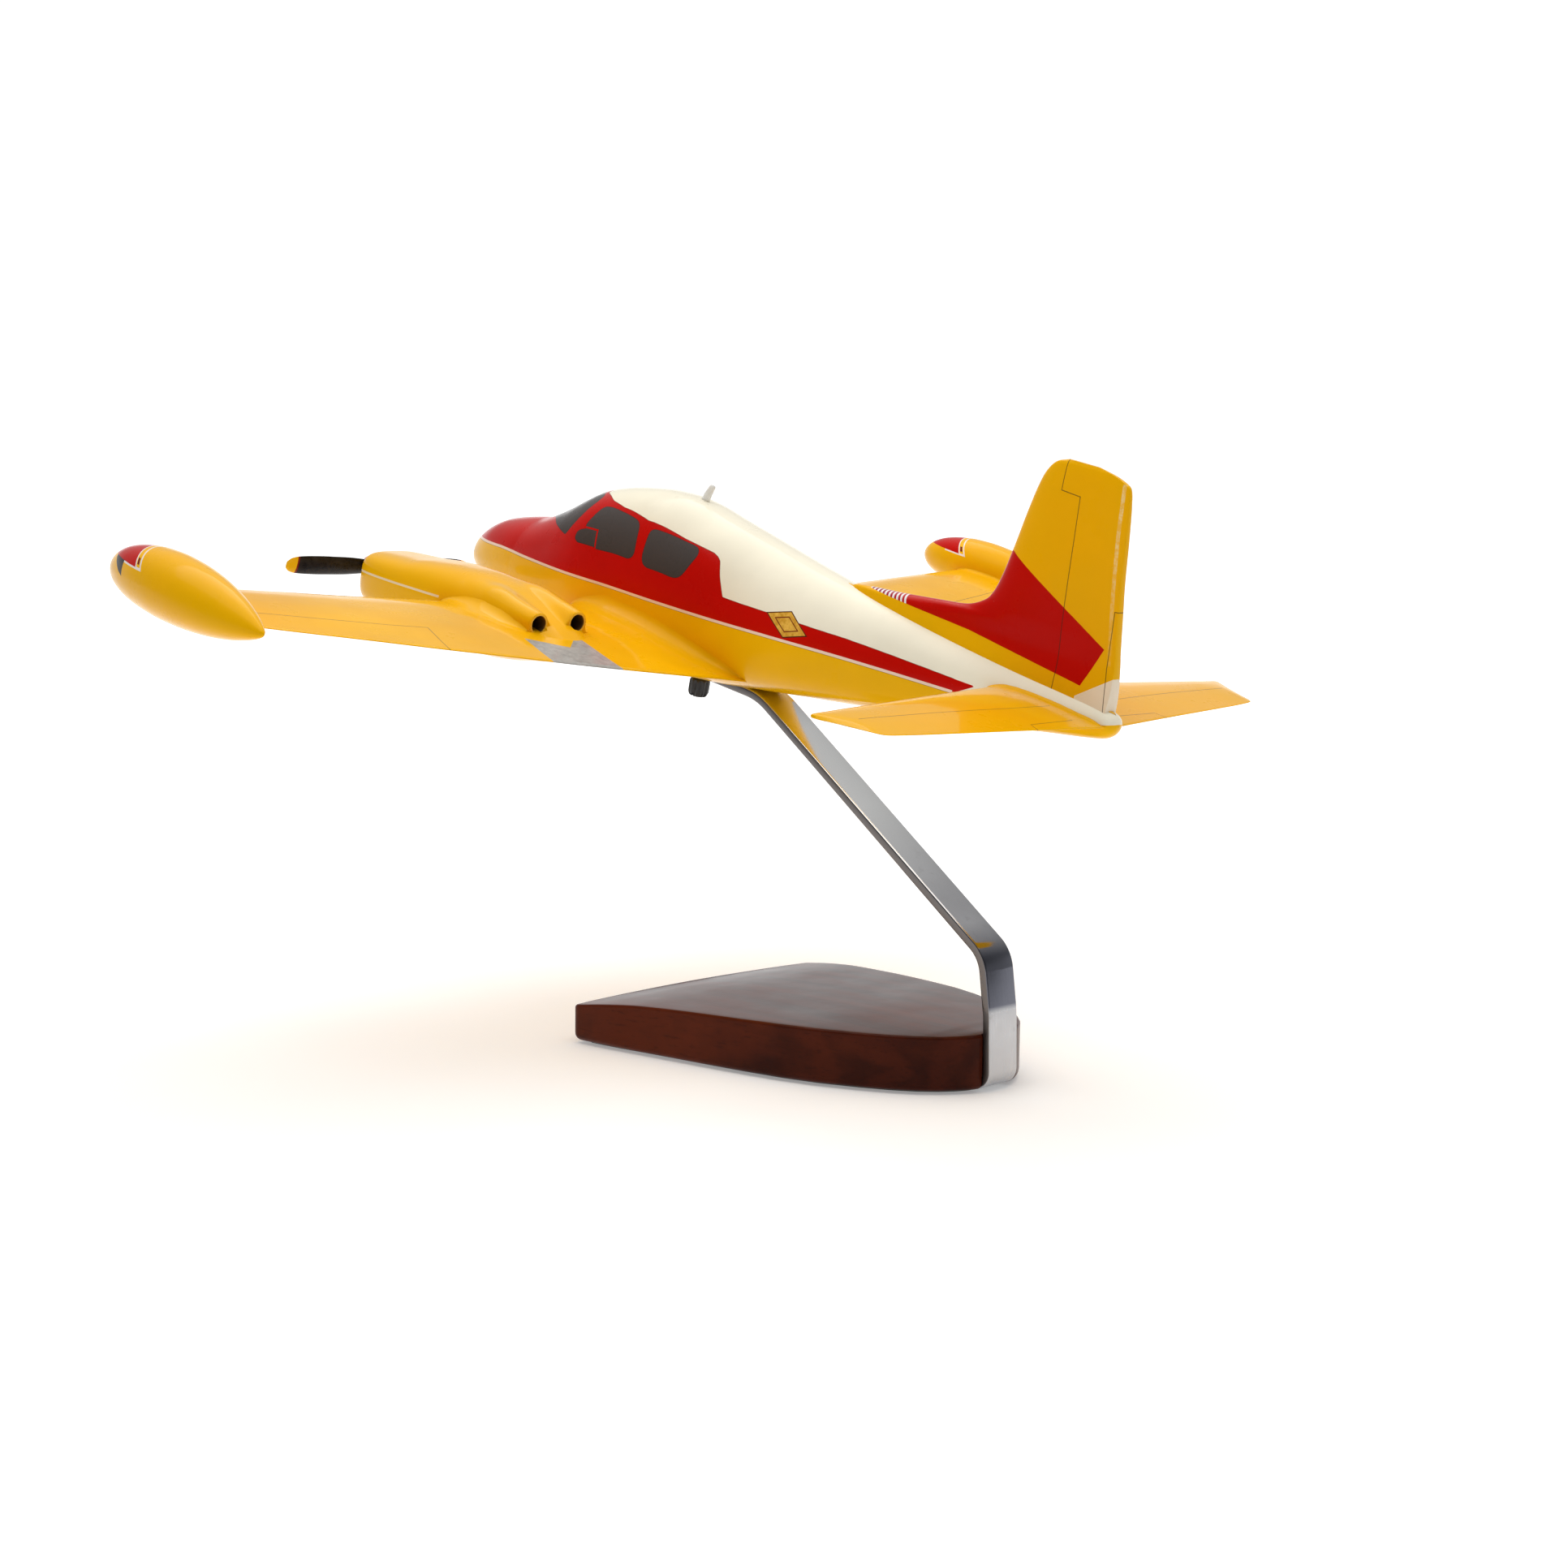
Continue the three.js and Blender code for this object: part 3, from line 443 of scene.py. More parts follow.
# ------------------------------------------------------------------ tables shared with the CAD
FUS = Stations([
    [-146.8, 0.0, -12, -12, -12, 2, 2],
    [-146.6, 1.6, -10.2, -13.4, -12, 2, 2], [-145.6, 4.7, -7.2, -15.6, -12, 2, 2],
    [-143.4, 7.8, -3.8, -17.6, -11.7, 2, 2.05], [-140, 10.4, -0.6, -19.2, -11.3, 2, 2.1],
    [-135, 13.0, 2.8, -20.8, -10.8, 2.05, 2.15], [-128, 15.6, 6.3, -22.2, -10, 2.1, 2.2],
    [-120, 17.8, 8.9, -23.4, -9.2, 2.15, 2.25], [-111, 19.8, 11.2, -24.4, -8.4, 2.2, 2.3],
    [-102.5, 21.4, 13.2, -25.2, -7.8, 2.2, 2.3], [-98, 22.2, 15.0, -25.7, -7.2, 2.2, 2.35],
    [-92.3, 23.1, 17.9, -26.2, -6.8, 2.2, 2.35], [-83.2, 24.4, 23.2, -26.7, -6.2, 2.2, 2.4],
    [-74.4, 25.6, 29.0, -27.1, -5.8, 2.2, 2.4], [-69, 26.1, 32.0, -27.4, -5.4, 2.25, 2.45],
    [-62, 26.6, 34.7, -27.7, -5.0, 2.3, 2.5], [-54, 26.9, 36.8, -27.9, -4.6, 2.3, 2.5],
    [-46, 27.0, 38.4, -28.0, -4.4, 2.3, 2.5], [-36, 27.0, 39.8, -27.9, -4.0, 2.3, 2.5],
    [-26, 26.9, 40.2, -27.7, -3.6, 2.3, 2.5], [-16, 26.7, 39.4, -27.4, -3.2, 2.3, 2.5],
    [-4, 26.2, 37.4, -26.6, -2.6, 2.3, 2.45], [14, 25.2, 34.7, -24.4, -1.4, 2.25, 2.4],
    [32, 23.8, 32.0, -21.4, 0.0, 2.2, 2.35], [50, 22.2, 29.4, -18.2, 1.6, 2.15, 2.3],
    [70, 20.0, 27.0, -14.9, 3.4, 2.1, 2.25], [90, 17.6, 25.0, -11.5, 5.2, 2.1, 2.2],
    [110, 15.0, 23.1, -8.0, 6.9, 2.1, 2.15], [130, 12.4, 21.4, -4.4, 8.4, 2.05, 2.1],
    [150, 9.9, 19.8, -0.5, 9.9, 2, 2.05], [168, 7.8, 18.5, 3.1, 11.2, 2, 2],
    [181, 6.2, 17.4, 5.7, 12.0, 2, 2], [187, 5.1, 16.6, 7.3, 12.3, 2, 2],
    [189.6, 3.6, 15.4, 9.2, 12.5, 2, 2], [190.6, 1.4, 13.7, 11.4, 12.6, 2, 2], [190.8, 0.0, 12.6, 12.6, 12.6, 2, 2],
])
WING = np.array([
    [8, -62.6, 34.6, -17.8, 14.6, 6.4], [14, -62, 34, -17.0, 13.0, 6.2], [22, -61, 33, -16.2, 11.6, 6.0],
    [26, -60, 32.2, -15.8, 9.6, 5.8], [31, -59.2, 31.4, -15.4, 8.0, 5.5], [38, -58.6, 30.4, -14.9, 7.0, 5.2],
    [48, -58.2, 28.6, -14.1, 6.4, 4.9], [62, -58, 26.0, -13.0, 6.0, 4.5], [86, -57.8, 21.2, -11.1, 5.5, 3.9],
    [112, -57.5, 14.6, -9.0, 5.0, 3.3], [140, -57.2, 7.6, -6.8, 4.5, 2.8], [168, -57, 0.2, -4.5, 4.1, 2.4],
    [190, -56.8, -5.6, -2.8, 3.8, 2.1], [203, -56.6, -9.4, -1.8, 3.6, 2.0], [212, -56.5, -12.0, -1.1, 3.5, 1.9],
])
FOIL = np.array([[0, 0], [0.008, 0.23], [0.03, 0.45], [0.08, 0.7], [0.16, 0.9], [0.28, 1], [0.42, 0.96],
                 [0.58, 0.79], [0.74, 0.52], [0.88, 0.25], [1, 0.05]])
TANK_X = 212.84
TANK = Stations([
    [-84.2, 0.0, 1.0], [-84.0, 1.1, 1.0], [-83.2, 2.8, 1.1], [-81.2, 4.9, 1.2], [-78, 6.9, 1.4], [-72.6, 8.9, 1.7],
    [-65.5, 10.5, 1.9], [-57, 11.5, 2.1], [-47.5, 11.9, 2.1], [-38, 11.6, 2.0], [-28.5, 10.7, 1.8],
    [-18.5, 9.1, 1.5], [-9.5, 7.0, 1.2], [-2, 4.6, 0.9], [3.2, 2.4, 0.6], [5.6, 0.9, 0.5], [6.0, 0.0, 0.5],
])
NAC_X, PROP_W, PROP_PLANE = 74.5, -10.9, -118.2
NAC = Stations([
    [-113.5, 0.0, -11.6, -11.6, -11.6, 3.2], [-113.4, 11.4, -4.2, -20.4, -11.6, 3.2], [-112.7, 13.0, -3.3, -21.8, -11.6, 3.4],
    [-110.8, 14.6, -2.6, -23.2, -11.5, 3.4], [-107, 15.8, -2.1, -24.2, -11.4, 3.4], [-100, 16.9, -1.3, -25.2, -11.2, 3.3],
    [-90, 17.7, -0.1, -26.0, -11.0, 3.1], [-78, 18.1, 1.9, -26.5, -10.8, 2.9], [-64, 18.2, 3.5, -26.6, -10.7, 2.7],
    [-50, 18.0, 4.3, -26.2, -10.6, 2.5], [-37, 17.5, 3.4, -24.9, -10.6, 2.4], [-25, 16.6, 0.8, -22.8, -10.6, 2.4],
    [-15, 15.2, -2.4, -20.3, -10.8, 2.4], [-7, 13.0, -5.8, -18.3, -11.0, 2.4], [0, 9.8, -9.2, -16.6, -11.8, 2.3],
    [7, 5.8, -11.6, -14.9, -12.6, 2.2], [12, 2.4, -12.2, -13.5, -12.8, 2.0],
])
EXH_X, EXH_V, EXH_W, EXH_R = (NAC_X - 9.2, NAC_X + 9.2), -9.0, -4.4, 3.1
POD = np.array([  # station, half width, top, bottom, widest height, upper and lower fullness
    [-52, 5.6, 1.6, -13, -6, 2.1, 2.2], [-44, 6.6, 3.2, -13, -6, 2.1, 2.2], [-34, 6.9, 3.2, -13, -5.4, 2.1, 2.2],
    [-22, 6.2, 1.7, -12.5, -5.0, 2.1, 2.1], [EXH_V - 2, 5.0, 0.2, -12, EXH_W, 2, 3.4], [EXH_V, 4.4, EXH_W + 4.1, -12.0, EXH_W, 2, 4.6],
])
FIN = np.array([
    [14, 70, 186.0, 6.0], [21, 64, 186.2, 5.0], [25, 62, 186.0, 4.2], [28.4, 64, 185.6, 3.6],
    [31.3, 88, 185.2, 3.3], [33.4, 104, 184.8, 3.2], [35.2, 117, 184.4, 3.1], [37.4, 122.6, 184.0, 3.1],
    [40.3, 126.6, 183.5, 3.0], [46.8, 129.8, 182.4, 2.9], [58.7, 132.8, 180.4, 2.6],
    [74.7, 136.2, 178.4, 2.1], [86, 139.4, 176.6, 1.8], [89.8, 141.6, 175.4, 1.6], [92.2, 144.2, 170.0, 1.3], [93.8, 149, 161.5, 0.7],
])
STAB = np.array([
    [1, 139.6, 189.2, 11.9, 2.5], [12, 141.6, 187.8, 11.9, 2.4], [40, 144.6, 184.2, 11.8, 2.2],
    [70, 147.8, 180.4, 11.6, 1.9], [92, 150.2, 177.5, 11.5, 1.7], [99.5, 151.1, 175.9, 11.5, 1.5],
    [104.4, 151.7, 166.6, 11.5, 1.2], [108.4, 152.3, 158.0, 11.5, 0.8], [109.4, 153.0, 155.2, 11.5, 0.5],
])


FIN_FOIL = np.array([[0, 0], [0.008, 0.23], [0.03, 0.45], [0.08, 0.7], [0.16, 0.9], [0.28, 1], [0.42, 0.97],
                     [0.58, 0.88], [0.74, 0.76], [0.88, 0.64], [1, 0.54]])


def foil_share(f, foil=FOIL):
    return pchip(np.sqrt(foil[:, 0]), foil[:, 1], np.sqrt(np.clip(f, 0, 1)))


def wing_at(x, k):
    return pchip(WING[:, 0], WING[:, k], x)


def wing_top(x, v):
    le, te = wing_at(x, 1), wing_at(x, 2)
    f = (v - le) / (te - le)
    return np.where((f < 0) | (f > 1), -99.0, wing_at(x, 3) + wing_at(x, 4) * foil_share(f))


def wing_under(x, v):
    le, te = wing_at(x, 1), wing_at(x, 2)
    f = (v - le) / (te - le)
    return np.where((f < 0) | (f > 1), 99.0, wing_at(x, 3) - wing_at(x, 5) * foil_share(f))


# ------------------------------------------------------------------ fuselage
fus_v = round_ends(-146.8, 190.8, 330, dense=(-104, 30, 1.9))
FR = [soften(c, 4) for c in FUS.all(fus_v)]
FUS_M = 240
fus_ang = math.pi / 2 - np.arange(FUS_M) / FUS_M * 2 * math.pi
fx, fw = egg(fus_ang[None], *[c[:, None] for c in FR])
fus_local = np.stack([fx, np.repeat(fus_v[:, None], FUS_M, 1), fw], -1)
seg = np.hypot(np.diff(fx, axis=1), np.diff(fw, axis=1))
half = FUS_M // 2
run = np.concatenate([np.zeros((len(fus_v), 1)), np.cumsum(seg, 1)], 1)
fus_s = run.copy()
fus_s[:, half + 1:] = (run[:, -1:] + seg[:, -1:] - run[:, half + 1:])  # arc from the top on either side


def fus_arc(v, w=None, x=None):
    """Arc length from the top centre line at station v, to height w or to half width x."""
    i = int(np.argmin(np.abs(fus_v - v)))
    s = fus_s[i, :half + 1]
    if w is not None:
        return float(np.interp(-w, -fw[i, :half + 1], s))
    top = slice(0, FUS_M // 4 + 1)
    return float(np.interp(x, fx[i, top], s[top]))


def vw(*pts):
    return [(v, fus_arc(v, w=w)) for v, w in pts]


def chaikin(poly, n=2, keep=0.25):
    P = np.array(poly, float)
    for _ in range(n):
        Q = np.roll(P, -1, 0)
        P = np.stack([P + keep * (Q - P), P + (1 - keep) * (Q - P)], 1).reshape(-1, 2)
    return P


def rounded(poly, r):
    """Closed outline with its corners rounded to about r."""
    P = np.array(poly, float)
    Q = np.roll(P, -1, 0)
    L = np.hypot(*(Q - P).T)
    pts = np.concatenate([p + (q - p) * np.linspace(0, 1, max(2, int(l / 0.25)), endpoint=False)[:, None] for p, q, l in zip(P, Q, L)])
    for _ in range(int(round((r / 0.25) ** 2 * 0.9))):
        pts = 0.25 * np.roll(pts, 1, 0) + 0.5 * pts + 0.25 * np.roll(pts, -1, 0)
    return pts[::2]


def sdf(P, poly):
    P = P.reshape(-1, 2)
    d = np.full(len(P), 1e9)
    inside = np.zeros(len(P), bool)
    n = len(poly)
    for i in range(n):
        a, b = np.array(poly[i]), np.array(poly[(i + 1) % n])
        ab, ap = b - a, P - np.array(poly[i])
        t = np.clip((ap @ ab) / max(ab @ ab, 1e-12), 0, 1)
        q = ap - t[:, None] * ab
        d = np.minimum(d, np.hypot(q[:, 0], q[:, 1]))
        dy = ab[1] if abs(ab[1]) > 1e-12 else 1e-12
        hit = ((a[1] > P[:, 1]) != (b[1] > P[:, 1])) & (P[:, 0] < a[0] + (P[:, 1] - a[1]) * ab[0] / dy)
        inside ^= hit
    return np.where(inside, -d, d)


vs_pts = np.stack([np.repeat(fus_v[:, None], FUS_M, 1), fus_s], -1)
STRIPE = [(-150, -4.9), (-140, -4.2), (-133, -3.6), (-128.3, -3.25), (-119.8, -2.5), (-112.5, -1.8), (-91.5, -1.0), (-61.8, 0.25),
          (-37, 1.5), (-13.8, 2.2), (7.9, 2.9), (23.8, 3.5), (48.3, 4.6), (81.8, 6.0), (103.2, 6.6), (124.1, 7.0), (150, 7.6), (191, 9.5)]
stripe_w = pchip([p[0] for p in STRIPE], [p[1] for p in STRIPE], fus_v)
stripe_s = np.array([np.interp(-w, -fw[i, :half + 1], fus_s[i, :half + 1]) for i, w in enumerate(stripe_w)])
below = fus_s - stripe_s[:, None]  # positive below the stripe
below += 3.0 * np.clip(0.9 - stripe_s[:, None], 0, 0.9)  # ahead of the point where the stripes meet there is none
cut = [(-66.0, -6.0), (-65.6, 4.0)] + [(-63.1, fus_arc(-63.1, x=10.2))] + vw((-53.8, 31.3), (-45.4, 30.8), (-28.4, 29.6), (-9.3, 28.0), (-0.4, 27.15), (5.0, 26.6), (8.6, 26.15), (11.2, 25.4), (13.2, 24.2), (14.5, 22.4), (16.6, 19.2),
       (21.4, 12.6), (25.4, 12.45), (45.3, 12.5), (79.2, 12.8), (101.2, 12.4), (137.0, 11.3), (128.9, 6.6), (128.0, 3.5))
red_poly = cut + [(128.0, 70.0), (-160.0, 70.0), (-160.0, -6.0)]
red_d = sdf(vs_pts, red_poly).reshape(fus_s.shape)
wind = [(-97.0, -8), (-97.0, 3.0), (-95.4, 7.0), (-92.6, 10.6)] + [(-88.1, fus_arc(-88.1, w=16.1)), (-82.0, fus_arc(-82.0, w=15.4)),
        (-76.0, fus_arc(-76.0, w=14.5)), (-70.7, fus_arc(-70.7, w=13.7)), (-66.6, fus_arc(-66.6, w=21.6)), (-62.6, fus_arc(-62.6, w=29.2)), (-62.6, fus_arc(-62.6, w=31.1)),
        (-66.2, fus_arc(-66.2, x=9.0)), (-68.4, 5.0), (-69.0, 2.0), (-69.0, -8)]
front = vw((-60.2, 19.9), (-56.8, 27.1), (-55.2, 28.7), (-50.4, 29.2), (-36.0, 28.6), (-33.2, 28.2), (-31.1, 26.6), (-28.1, 17.4), (-28.0, 15.8), (-29.8, 14.3), (-49.0, 13.35), (-52.4, 14.2))
vent = vw((-63.6, 16.6), (-62.4, 17.6), (-59.2, 18.8), (-53.0, 19.3), (-51.0, 13.7), (-61.0, 13.2), (-63.4, 14.2))
rear = vw((-24.5, 26.6), (-23.4, 27.3), (-19.5, 27.4), (0.2, 26.2), (1.9, 25.5), (2.3, 23.7), (-0.6, 16.2), (-2.0, 14.2), (-4.6, 13.5), (-20.0, 13.7), (-22.0, 14.6), (-23.1, 16.6))
glass_d = np.minimum.reduce([sdf(vs_pts, rounded(p, r)) - g for p, r, g in ((wind, 0.6, 0.0), (front, 1.5, 0.25), (vent, 1.0, 0.2), (rear, 1.7, 0.3))]).reshape(fus_s.shape)
FINB = [(58.0, 0.0), (61.0, 0.4), (70, 1.6), (85.9, 2.9), (107.7, 3.9), (127.4, 4.2), (145.9, 4.0), (162.1, 3.7), (171.2, 3.3), (180, 2.6), (186, 1.5), (188.5, 0.2), (191, -3)]
finb = pchip([p[0] for p in FINB], [p[1] for p in FINB], fus_v)
finb = np.where(fus_v < 61, (fus_v - 61) * 0.6, finb)
fin_d = np.where(fw > FR[3][:, None], np.abs(fx) - finb[:, None], 9.0)

fuselage = grid("fuselage_body", to_row(fus_local), {"arc": fus_s, "below": below, "red": red_d, "glass": glass_d, "fin": fin_d})

m = Mat("livery_fuselage")
X, V, W, _ = m.local()
AX = m.math("ABSOLUTE", X)
wob = m.math("MULTIPLY_ADD", m.noise(0.25, 1, 0.5, vec=m.local()[3]), 0.16, -0.08)  # hand-masked edges wander a little
S_ = m.attr("arc")
d_below = m.attr("below")
d_red = m.math("ADD", m.attr("red"), wob)
col = m.mix(m.inside(m.math("ADD", d_below, wob)), YELLOW, CREAM)
tail_red = m.rng(V, 10.0, 11.0, 0, 1)
col = m.mix(m.both(m.inside(d_red), m.inside(d_below)), col, RED)
band = m.inside(m.math("ADD", m.math("ABSOLUTE", m.math("ADD", d_below, -0.1)), -0.52))
band = m.both(band, m.inside(m.math("ADD", V, -128.4)))
col = m.mix(band, col, (0.93, 0.70, 0.56))
under = m.line(V, d_below, [(-146, 0.72), (128, 0.72)], 0.22)
col = m.mix(m.math("MULTIPLY", under, 0.55), col, PEN)
edge_line = m.inside(m.math("ADD", m.math("ABSOLUTE", d_red), -0.10), 0.06)
edge_line = m.both(edge_line, m.inside(m.math("ADD", d_below, 0.8)), m.inside(m.math("ADD", V, -128.0)))
col = m.mix(m.math("MULTIPLY", edge_line, 0.75), col, (0.10, 0.004, 0.003))
glass = m.inside(m.attr("glass"))
frame_line = m.line(V, S_, [tuple(p) for p in vw((-60.6, 19.2), (-52.0, 19.9), (-49.9, 13.4))], 0.75)
gl = m.both(glass, m.math("SUBTRACT", 1.0, frame_line))
# painted reflection: the window paint grows lighter towards the roof
shade = m.rng(W, 12.0, 31.0, 0.0, 1.0)
col = m.mix(gl, col, m.mix(shade, GLASS, (0.082, 0.072, 0.070)))
rim = m.inside(m.math("ADD", m.math("ABSOLUTE", m.attr("glass")), -0.12), 0.05)
col = m.mix(m.math("MULTIPLY", m.both(rim, m.math("SUBTRACT", 1.0, frame_line)), 0.5), col, (0.03, 0.006, 0.005))
tail_low = m.both(m.inside(m.math("ADD", W, m.math("MULTIPLY_ADD", V, -0.27, 38.27))), m.inside(m.math("MULTIPLY_ADD", V, -1.0, 170.0)))
col = m.mix(tail_low, col, YELLOW)
fin_y = m.inside(m.attr("fin"))
col = m.mix(fin_y, col, YELLOW)
fline = m.inside(m.math("ADD", m.math("ABSOLUTE", m.attr("fin")), -0.11), 0.05)
col = m.mix(m.both(fline, m.rng(V, 120, 140, 0, 0.8)), col, PEN)
# a plain gold lozenge with a dark outline, on either side of the rear fuselage
loz_s = fus_arc(53.5, w=10.8)
u1 = m.math("DIVIDE", m.math("ABSOLUTE", m.math("ADD", V, -53.5)), 10.5)
u2 = m.math("DIVIDE", m.math("ABSOLUTE", m.math("ADD", S_, -loz_s)), 5.2)
loz = m.math("MULTIPLY", m.math("ADD", m.math("ADD", u1, u2), -1.0), 4.6)
gold = m.mix(m.rng(m.noise(0.5, 3, 0.6, vec=m.local()[3]), 0.35, 0.65, 0, 1), (0.62, 0.30, 0.03), (0.85, 0.50, 0.08))
col = m.mix(m.inside(loz), col, (0.10, 0.02, 0.01))
col = m.mix(m.inside(m.math("ADD", loz, 0.40)), col, gold)
col = m.mix(m.inside(m.math("ADD", loz, 1.9)), col, (0.20, 0.03, 0.01))
col = m.mix(m.inside(m.math("ADD", loz, 2.3)), col, gold)
fus_mat = finish_paint(m, col)
fuselage.data.materials.append(fus_mat)
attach(fuselage, ROOT)
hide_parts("fuselage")


# ------------------------------------------------------------------ wing, stabilizer and fin surfaces
def foil_loop(n=44, foil=FOIL):
    """Chord fractions and shares round a section: upper surface aft, then back along the lower."""
    u = np.linspace(0, 1, n)
    f = u * u * (3 - 2 * u) * 0.35 + u * u * 0.65
    return f, foil_share(f, foil)


def panel(x, le, te, w, up, lo, te_round=0.35, foil=FOIL, square=False):
    """Section rings over the span stations; arrays of the same length."""
    f, s = foil_loop(foil=foil)
    rings = []
    for i in range(len(x)):
        c = te[i] - le[i]
        top = np.stack([le[i] + c * f, w[i] + up[i] * s], 1)
        bot = np.stack([le[i] + c * f, w[i] - lo[i] * s], 1)[::-1]
        hu, hl = top[-1, 1] - w[i], w[i] - bot[0, 1]
        tip = np.array([[te[i] + te_round * 0.7 * (hu + hl), w[i] + 0.45 * hu], [te[i] + te_round * (hu + hl), w[i] + 0.5 * (hu - hl)],
                        [te[i] + te_round * 0.7 * (hu + hl), w[i] - 0.45 * hl]])
        if square:  # a flat trailing edge with softened corners
            tip = np.array([[te[i] + 0.10, w[i] + hu - 0.03], [te[i] + 0.24, w[i] + hu - 0.14], [te[i] + 0.30, w[i] + hu - 0.32], [te[i] + 0.31, w[i]],
                            [te[i] + 0.30, w[i] - hl + 0.32], [te[i] + 0.24, w[i] - hl + 0.14], [te[i] + 0.10, w[i] - hl + 0.03]])
        rings.append(np.concatenate([top, tip, bot[:-1]]))
    R = np.array(rings)
    return np.concatenate([np.repeat(np.asarray(x, float)[:, None, None], R.shape[1], 1), R], 2)


def spans(table, n, end_round=0.0):
    x0, x1 = table[0, 0], table[-1, 0]
    if end_round:
        t = np.linspace(0, 1, n)
        x = x0 + (x1 - x0) * (1 - (1 - t) ** 1.6)
    else:
        x = np.linspace(x0, x1, n)
    cols = [soften(pchip(table[:, 0], table[:, k], x), 2) for k in range(1, table.shape[1])]
    return x, cols


def paint_plain(name, lines=None):
    m = Mat(name)
    X, V, W, _ = m.local()
    AX = m.math("ABSOLUTE", X)
    return m, AX, V, W


wx, wc = spans(WING, 130)
wing_G = panel(wx, wc[0], wc[1], wc[2], wc[3], wc[4])
m, AX, V, W = paint_plain("livery_wing")
col = m.mix(m.rng(m.noise(0.015, 3, 0.6, vec=m.local()[3]), 0.35, 0.65, 0, 1), YELLOW, YELLOW_DEEP)
pen = m.line(AX, V, [(204, -22.9), (195.1, -21.3), (172.8, -17.2), (148.1, -13.2), (132.5, -11.4), (137.6, 9.5)], 0.34)
col = m.mix(m.math("MULTIPLY", pen, 0.75), col, PEN)
sil = m.either(m.inside(m.polygon(AX, V, [(95.2, -2.7), (98.8, 21.0), (79.6, 24.0), (79.6, 5.5)])),
               m.inside(m.polygon(AX, V, [(71.3, -2.8), (80.0, 5.5), (80.0, 24.0), (70.4, 25.0), (68.4, -1.7)])))
upper = m.rng(W, -13.6, -13.2, 0, 1)
mott = m.rng(m.noise(0.35, 4, 0.7, vec=m.local()[3]), 0.3, 0.7, 0.75, 1.15)
silc = m.node("ShaderNodeHueSaturation"); m.link(SILVER, silc.inputs["Color"]); m.link(mott, silc.inputs["Value"])
col = m.mix(m.both(sil, upper), col, silc.outputs[0])
wing_mat = finish_paint(m, col)

sx, sc = spans(STAB, 90, end_round=1)
stab_G = panel(sx, sc[0], sc[1], sc[2], sc[3], sc[3])
m, AX, V, W = paint_plain("livery_stabilizer")
col = m.mix(m.rng(m.noise(0.02, 3, 0.6, vec=m.local()[3]), 0.35, 0.65, 0, 1), YELLOW, YELLOW_DEEP)
pen = m.either(m.line(AX, V, [(10, 168.6), (31.2, 167.3), (46.2, 166.0), (64.6, 164.6), (98.4, 163.3)], 0.32),
               m.line(AX, V, [(12.7, 180.9), (33.9, 180.6), (35.6, 185.5)], 0.32))
col = m.mix(m.math("MULTIPLY", pen, 0.75), col, PEN)
stab_mat = finish_paint(m, col)

fin_h = np.concatenate([np.linspace(14, 40, 60), np.linspace(40.6, 86, 60), 86 + 7.8 * (1 - (1 - np.linspace(0.03, 1, 26)) ** 1.8)])
fc = [soften(pchip(FIN[:, 0], FIN[:, k], fin_h), 1) for k in range(1, 4)]
fin_G = panel(fin_h, fc[0], fc[1], np.zeros(len(fin_h)), fc[2], fc[2], foil=FIN_FOIL, square=True)
fin_L = np.stack([fin_G[..., 2], fin_G[..., 1], fin_G[..., 0]], -1)
fin = grid("tail_fin_panel", to_row(fin_L), sharp=26)
m = Mat("livery_fin")
X, V, W, vec = m.local()
wob = m.math("MULTIPLY_ADD", m.noise(0.3, 1, 0.5, vec=vec), 0.14, -0.07)
col = m.mix(m.rng(m.noise(0.02, 3, 0.6, vec=vec), 0.35, 0.65, 0, 1), YELLOW, YELLOW_DEEP)
main = m.polygon(V, W, [(92.5, 28.7), (105.9, 29.15), (125.3, 27.45), (143.8, 25.9), (161.6, 24.1), (174.0, 22.1), (180.0, 36.2), (165.0, 43.5), (148.6, 51.4), (134.3, 58.4), (110.0, 60.0)])
# lower edge runs in a shallow hollow, so the area is two pieces
lower = m.polygon(V, W, [(73.0, 29.6), (93.0, 28.75), (126.0, 27.4), (134.3, 58.4), (90.0, 50.0)])
upper_ = m.polygon(V, W, [(120.0, 27.85), (174.0, 22.1), (180.0, 36.2), (134.3, 58.4), (115.0, 60.0)])
red = m.inside(m.math("ADD", m.math("MINIMUM", lower, upper_), wob))
tick_c = m.math("MULTIPLY_ADD", W, 0.55, m.math("ADD", V, -0.55 * 30))
tick = m.math("FRACT", m.math("DIVIDE", m.math("ADD", tick_c, -74.3), 2.05))
tick = m.rng(m.math("ABSOLUTE", m.math("ADD", tick, -0.5)), 0.22, 0.27, 1, 0)
ticks = m.both(tick, m.rng(tick_c, 92.2, 92.4, 1, 0))
front_tint = m.rng(V, 80, 94, 0, 1)
redc = m.mix(front_tint, (0.30, 0.012, 0.05), RED)
col = m.mix(red, col, m.mix(ticks, redc, (0.86, 0.80, 0.80)))
pen = m.either(m.line(V, W, [(149.3, 95), (149.5, 83.3), (157.6, 82.8), (160.7, 46.3), (163.0, 24), (163.4, 16)], 0.32),
               m.line(V, W, [(187.0, 49.9), (180.9, 49.3), (182.6, 30.0), (185.4, 16)], 0.32))
# painted highlight: a pale patch over the fin's rear lower corner
foot_ = m.inside(m.polygon(V, W, [(173.0, 18.3), (187.6, 28.7), (196.0, 28.7), (196.0, 10.0), (173.0, 10.0)]))
col = m.mix(foot_, col, (0.93, 0.80, 0.62))
te_highlight = m.line(V, W, [(174.0, 90.0), (175.6, 74.0), (178.4, 56.0), (183.0, 32.0)], 1.5)
te_highlight = m.both(te_highlight, m.rng(m.noise(0.5, 4, 0.7, vec=vec), 0.42, 0.60, 0.25, 1.0), m.rng(W, 34, 74, 0.15, 0.75))
col = m.mix(te_highlight, col, (0.95, 0.74, 0.36))  # painted highlight: a paler streak near the trailing edge
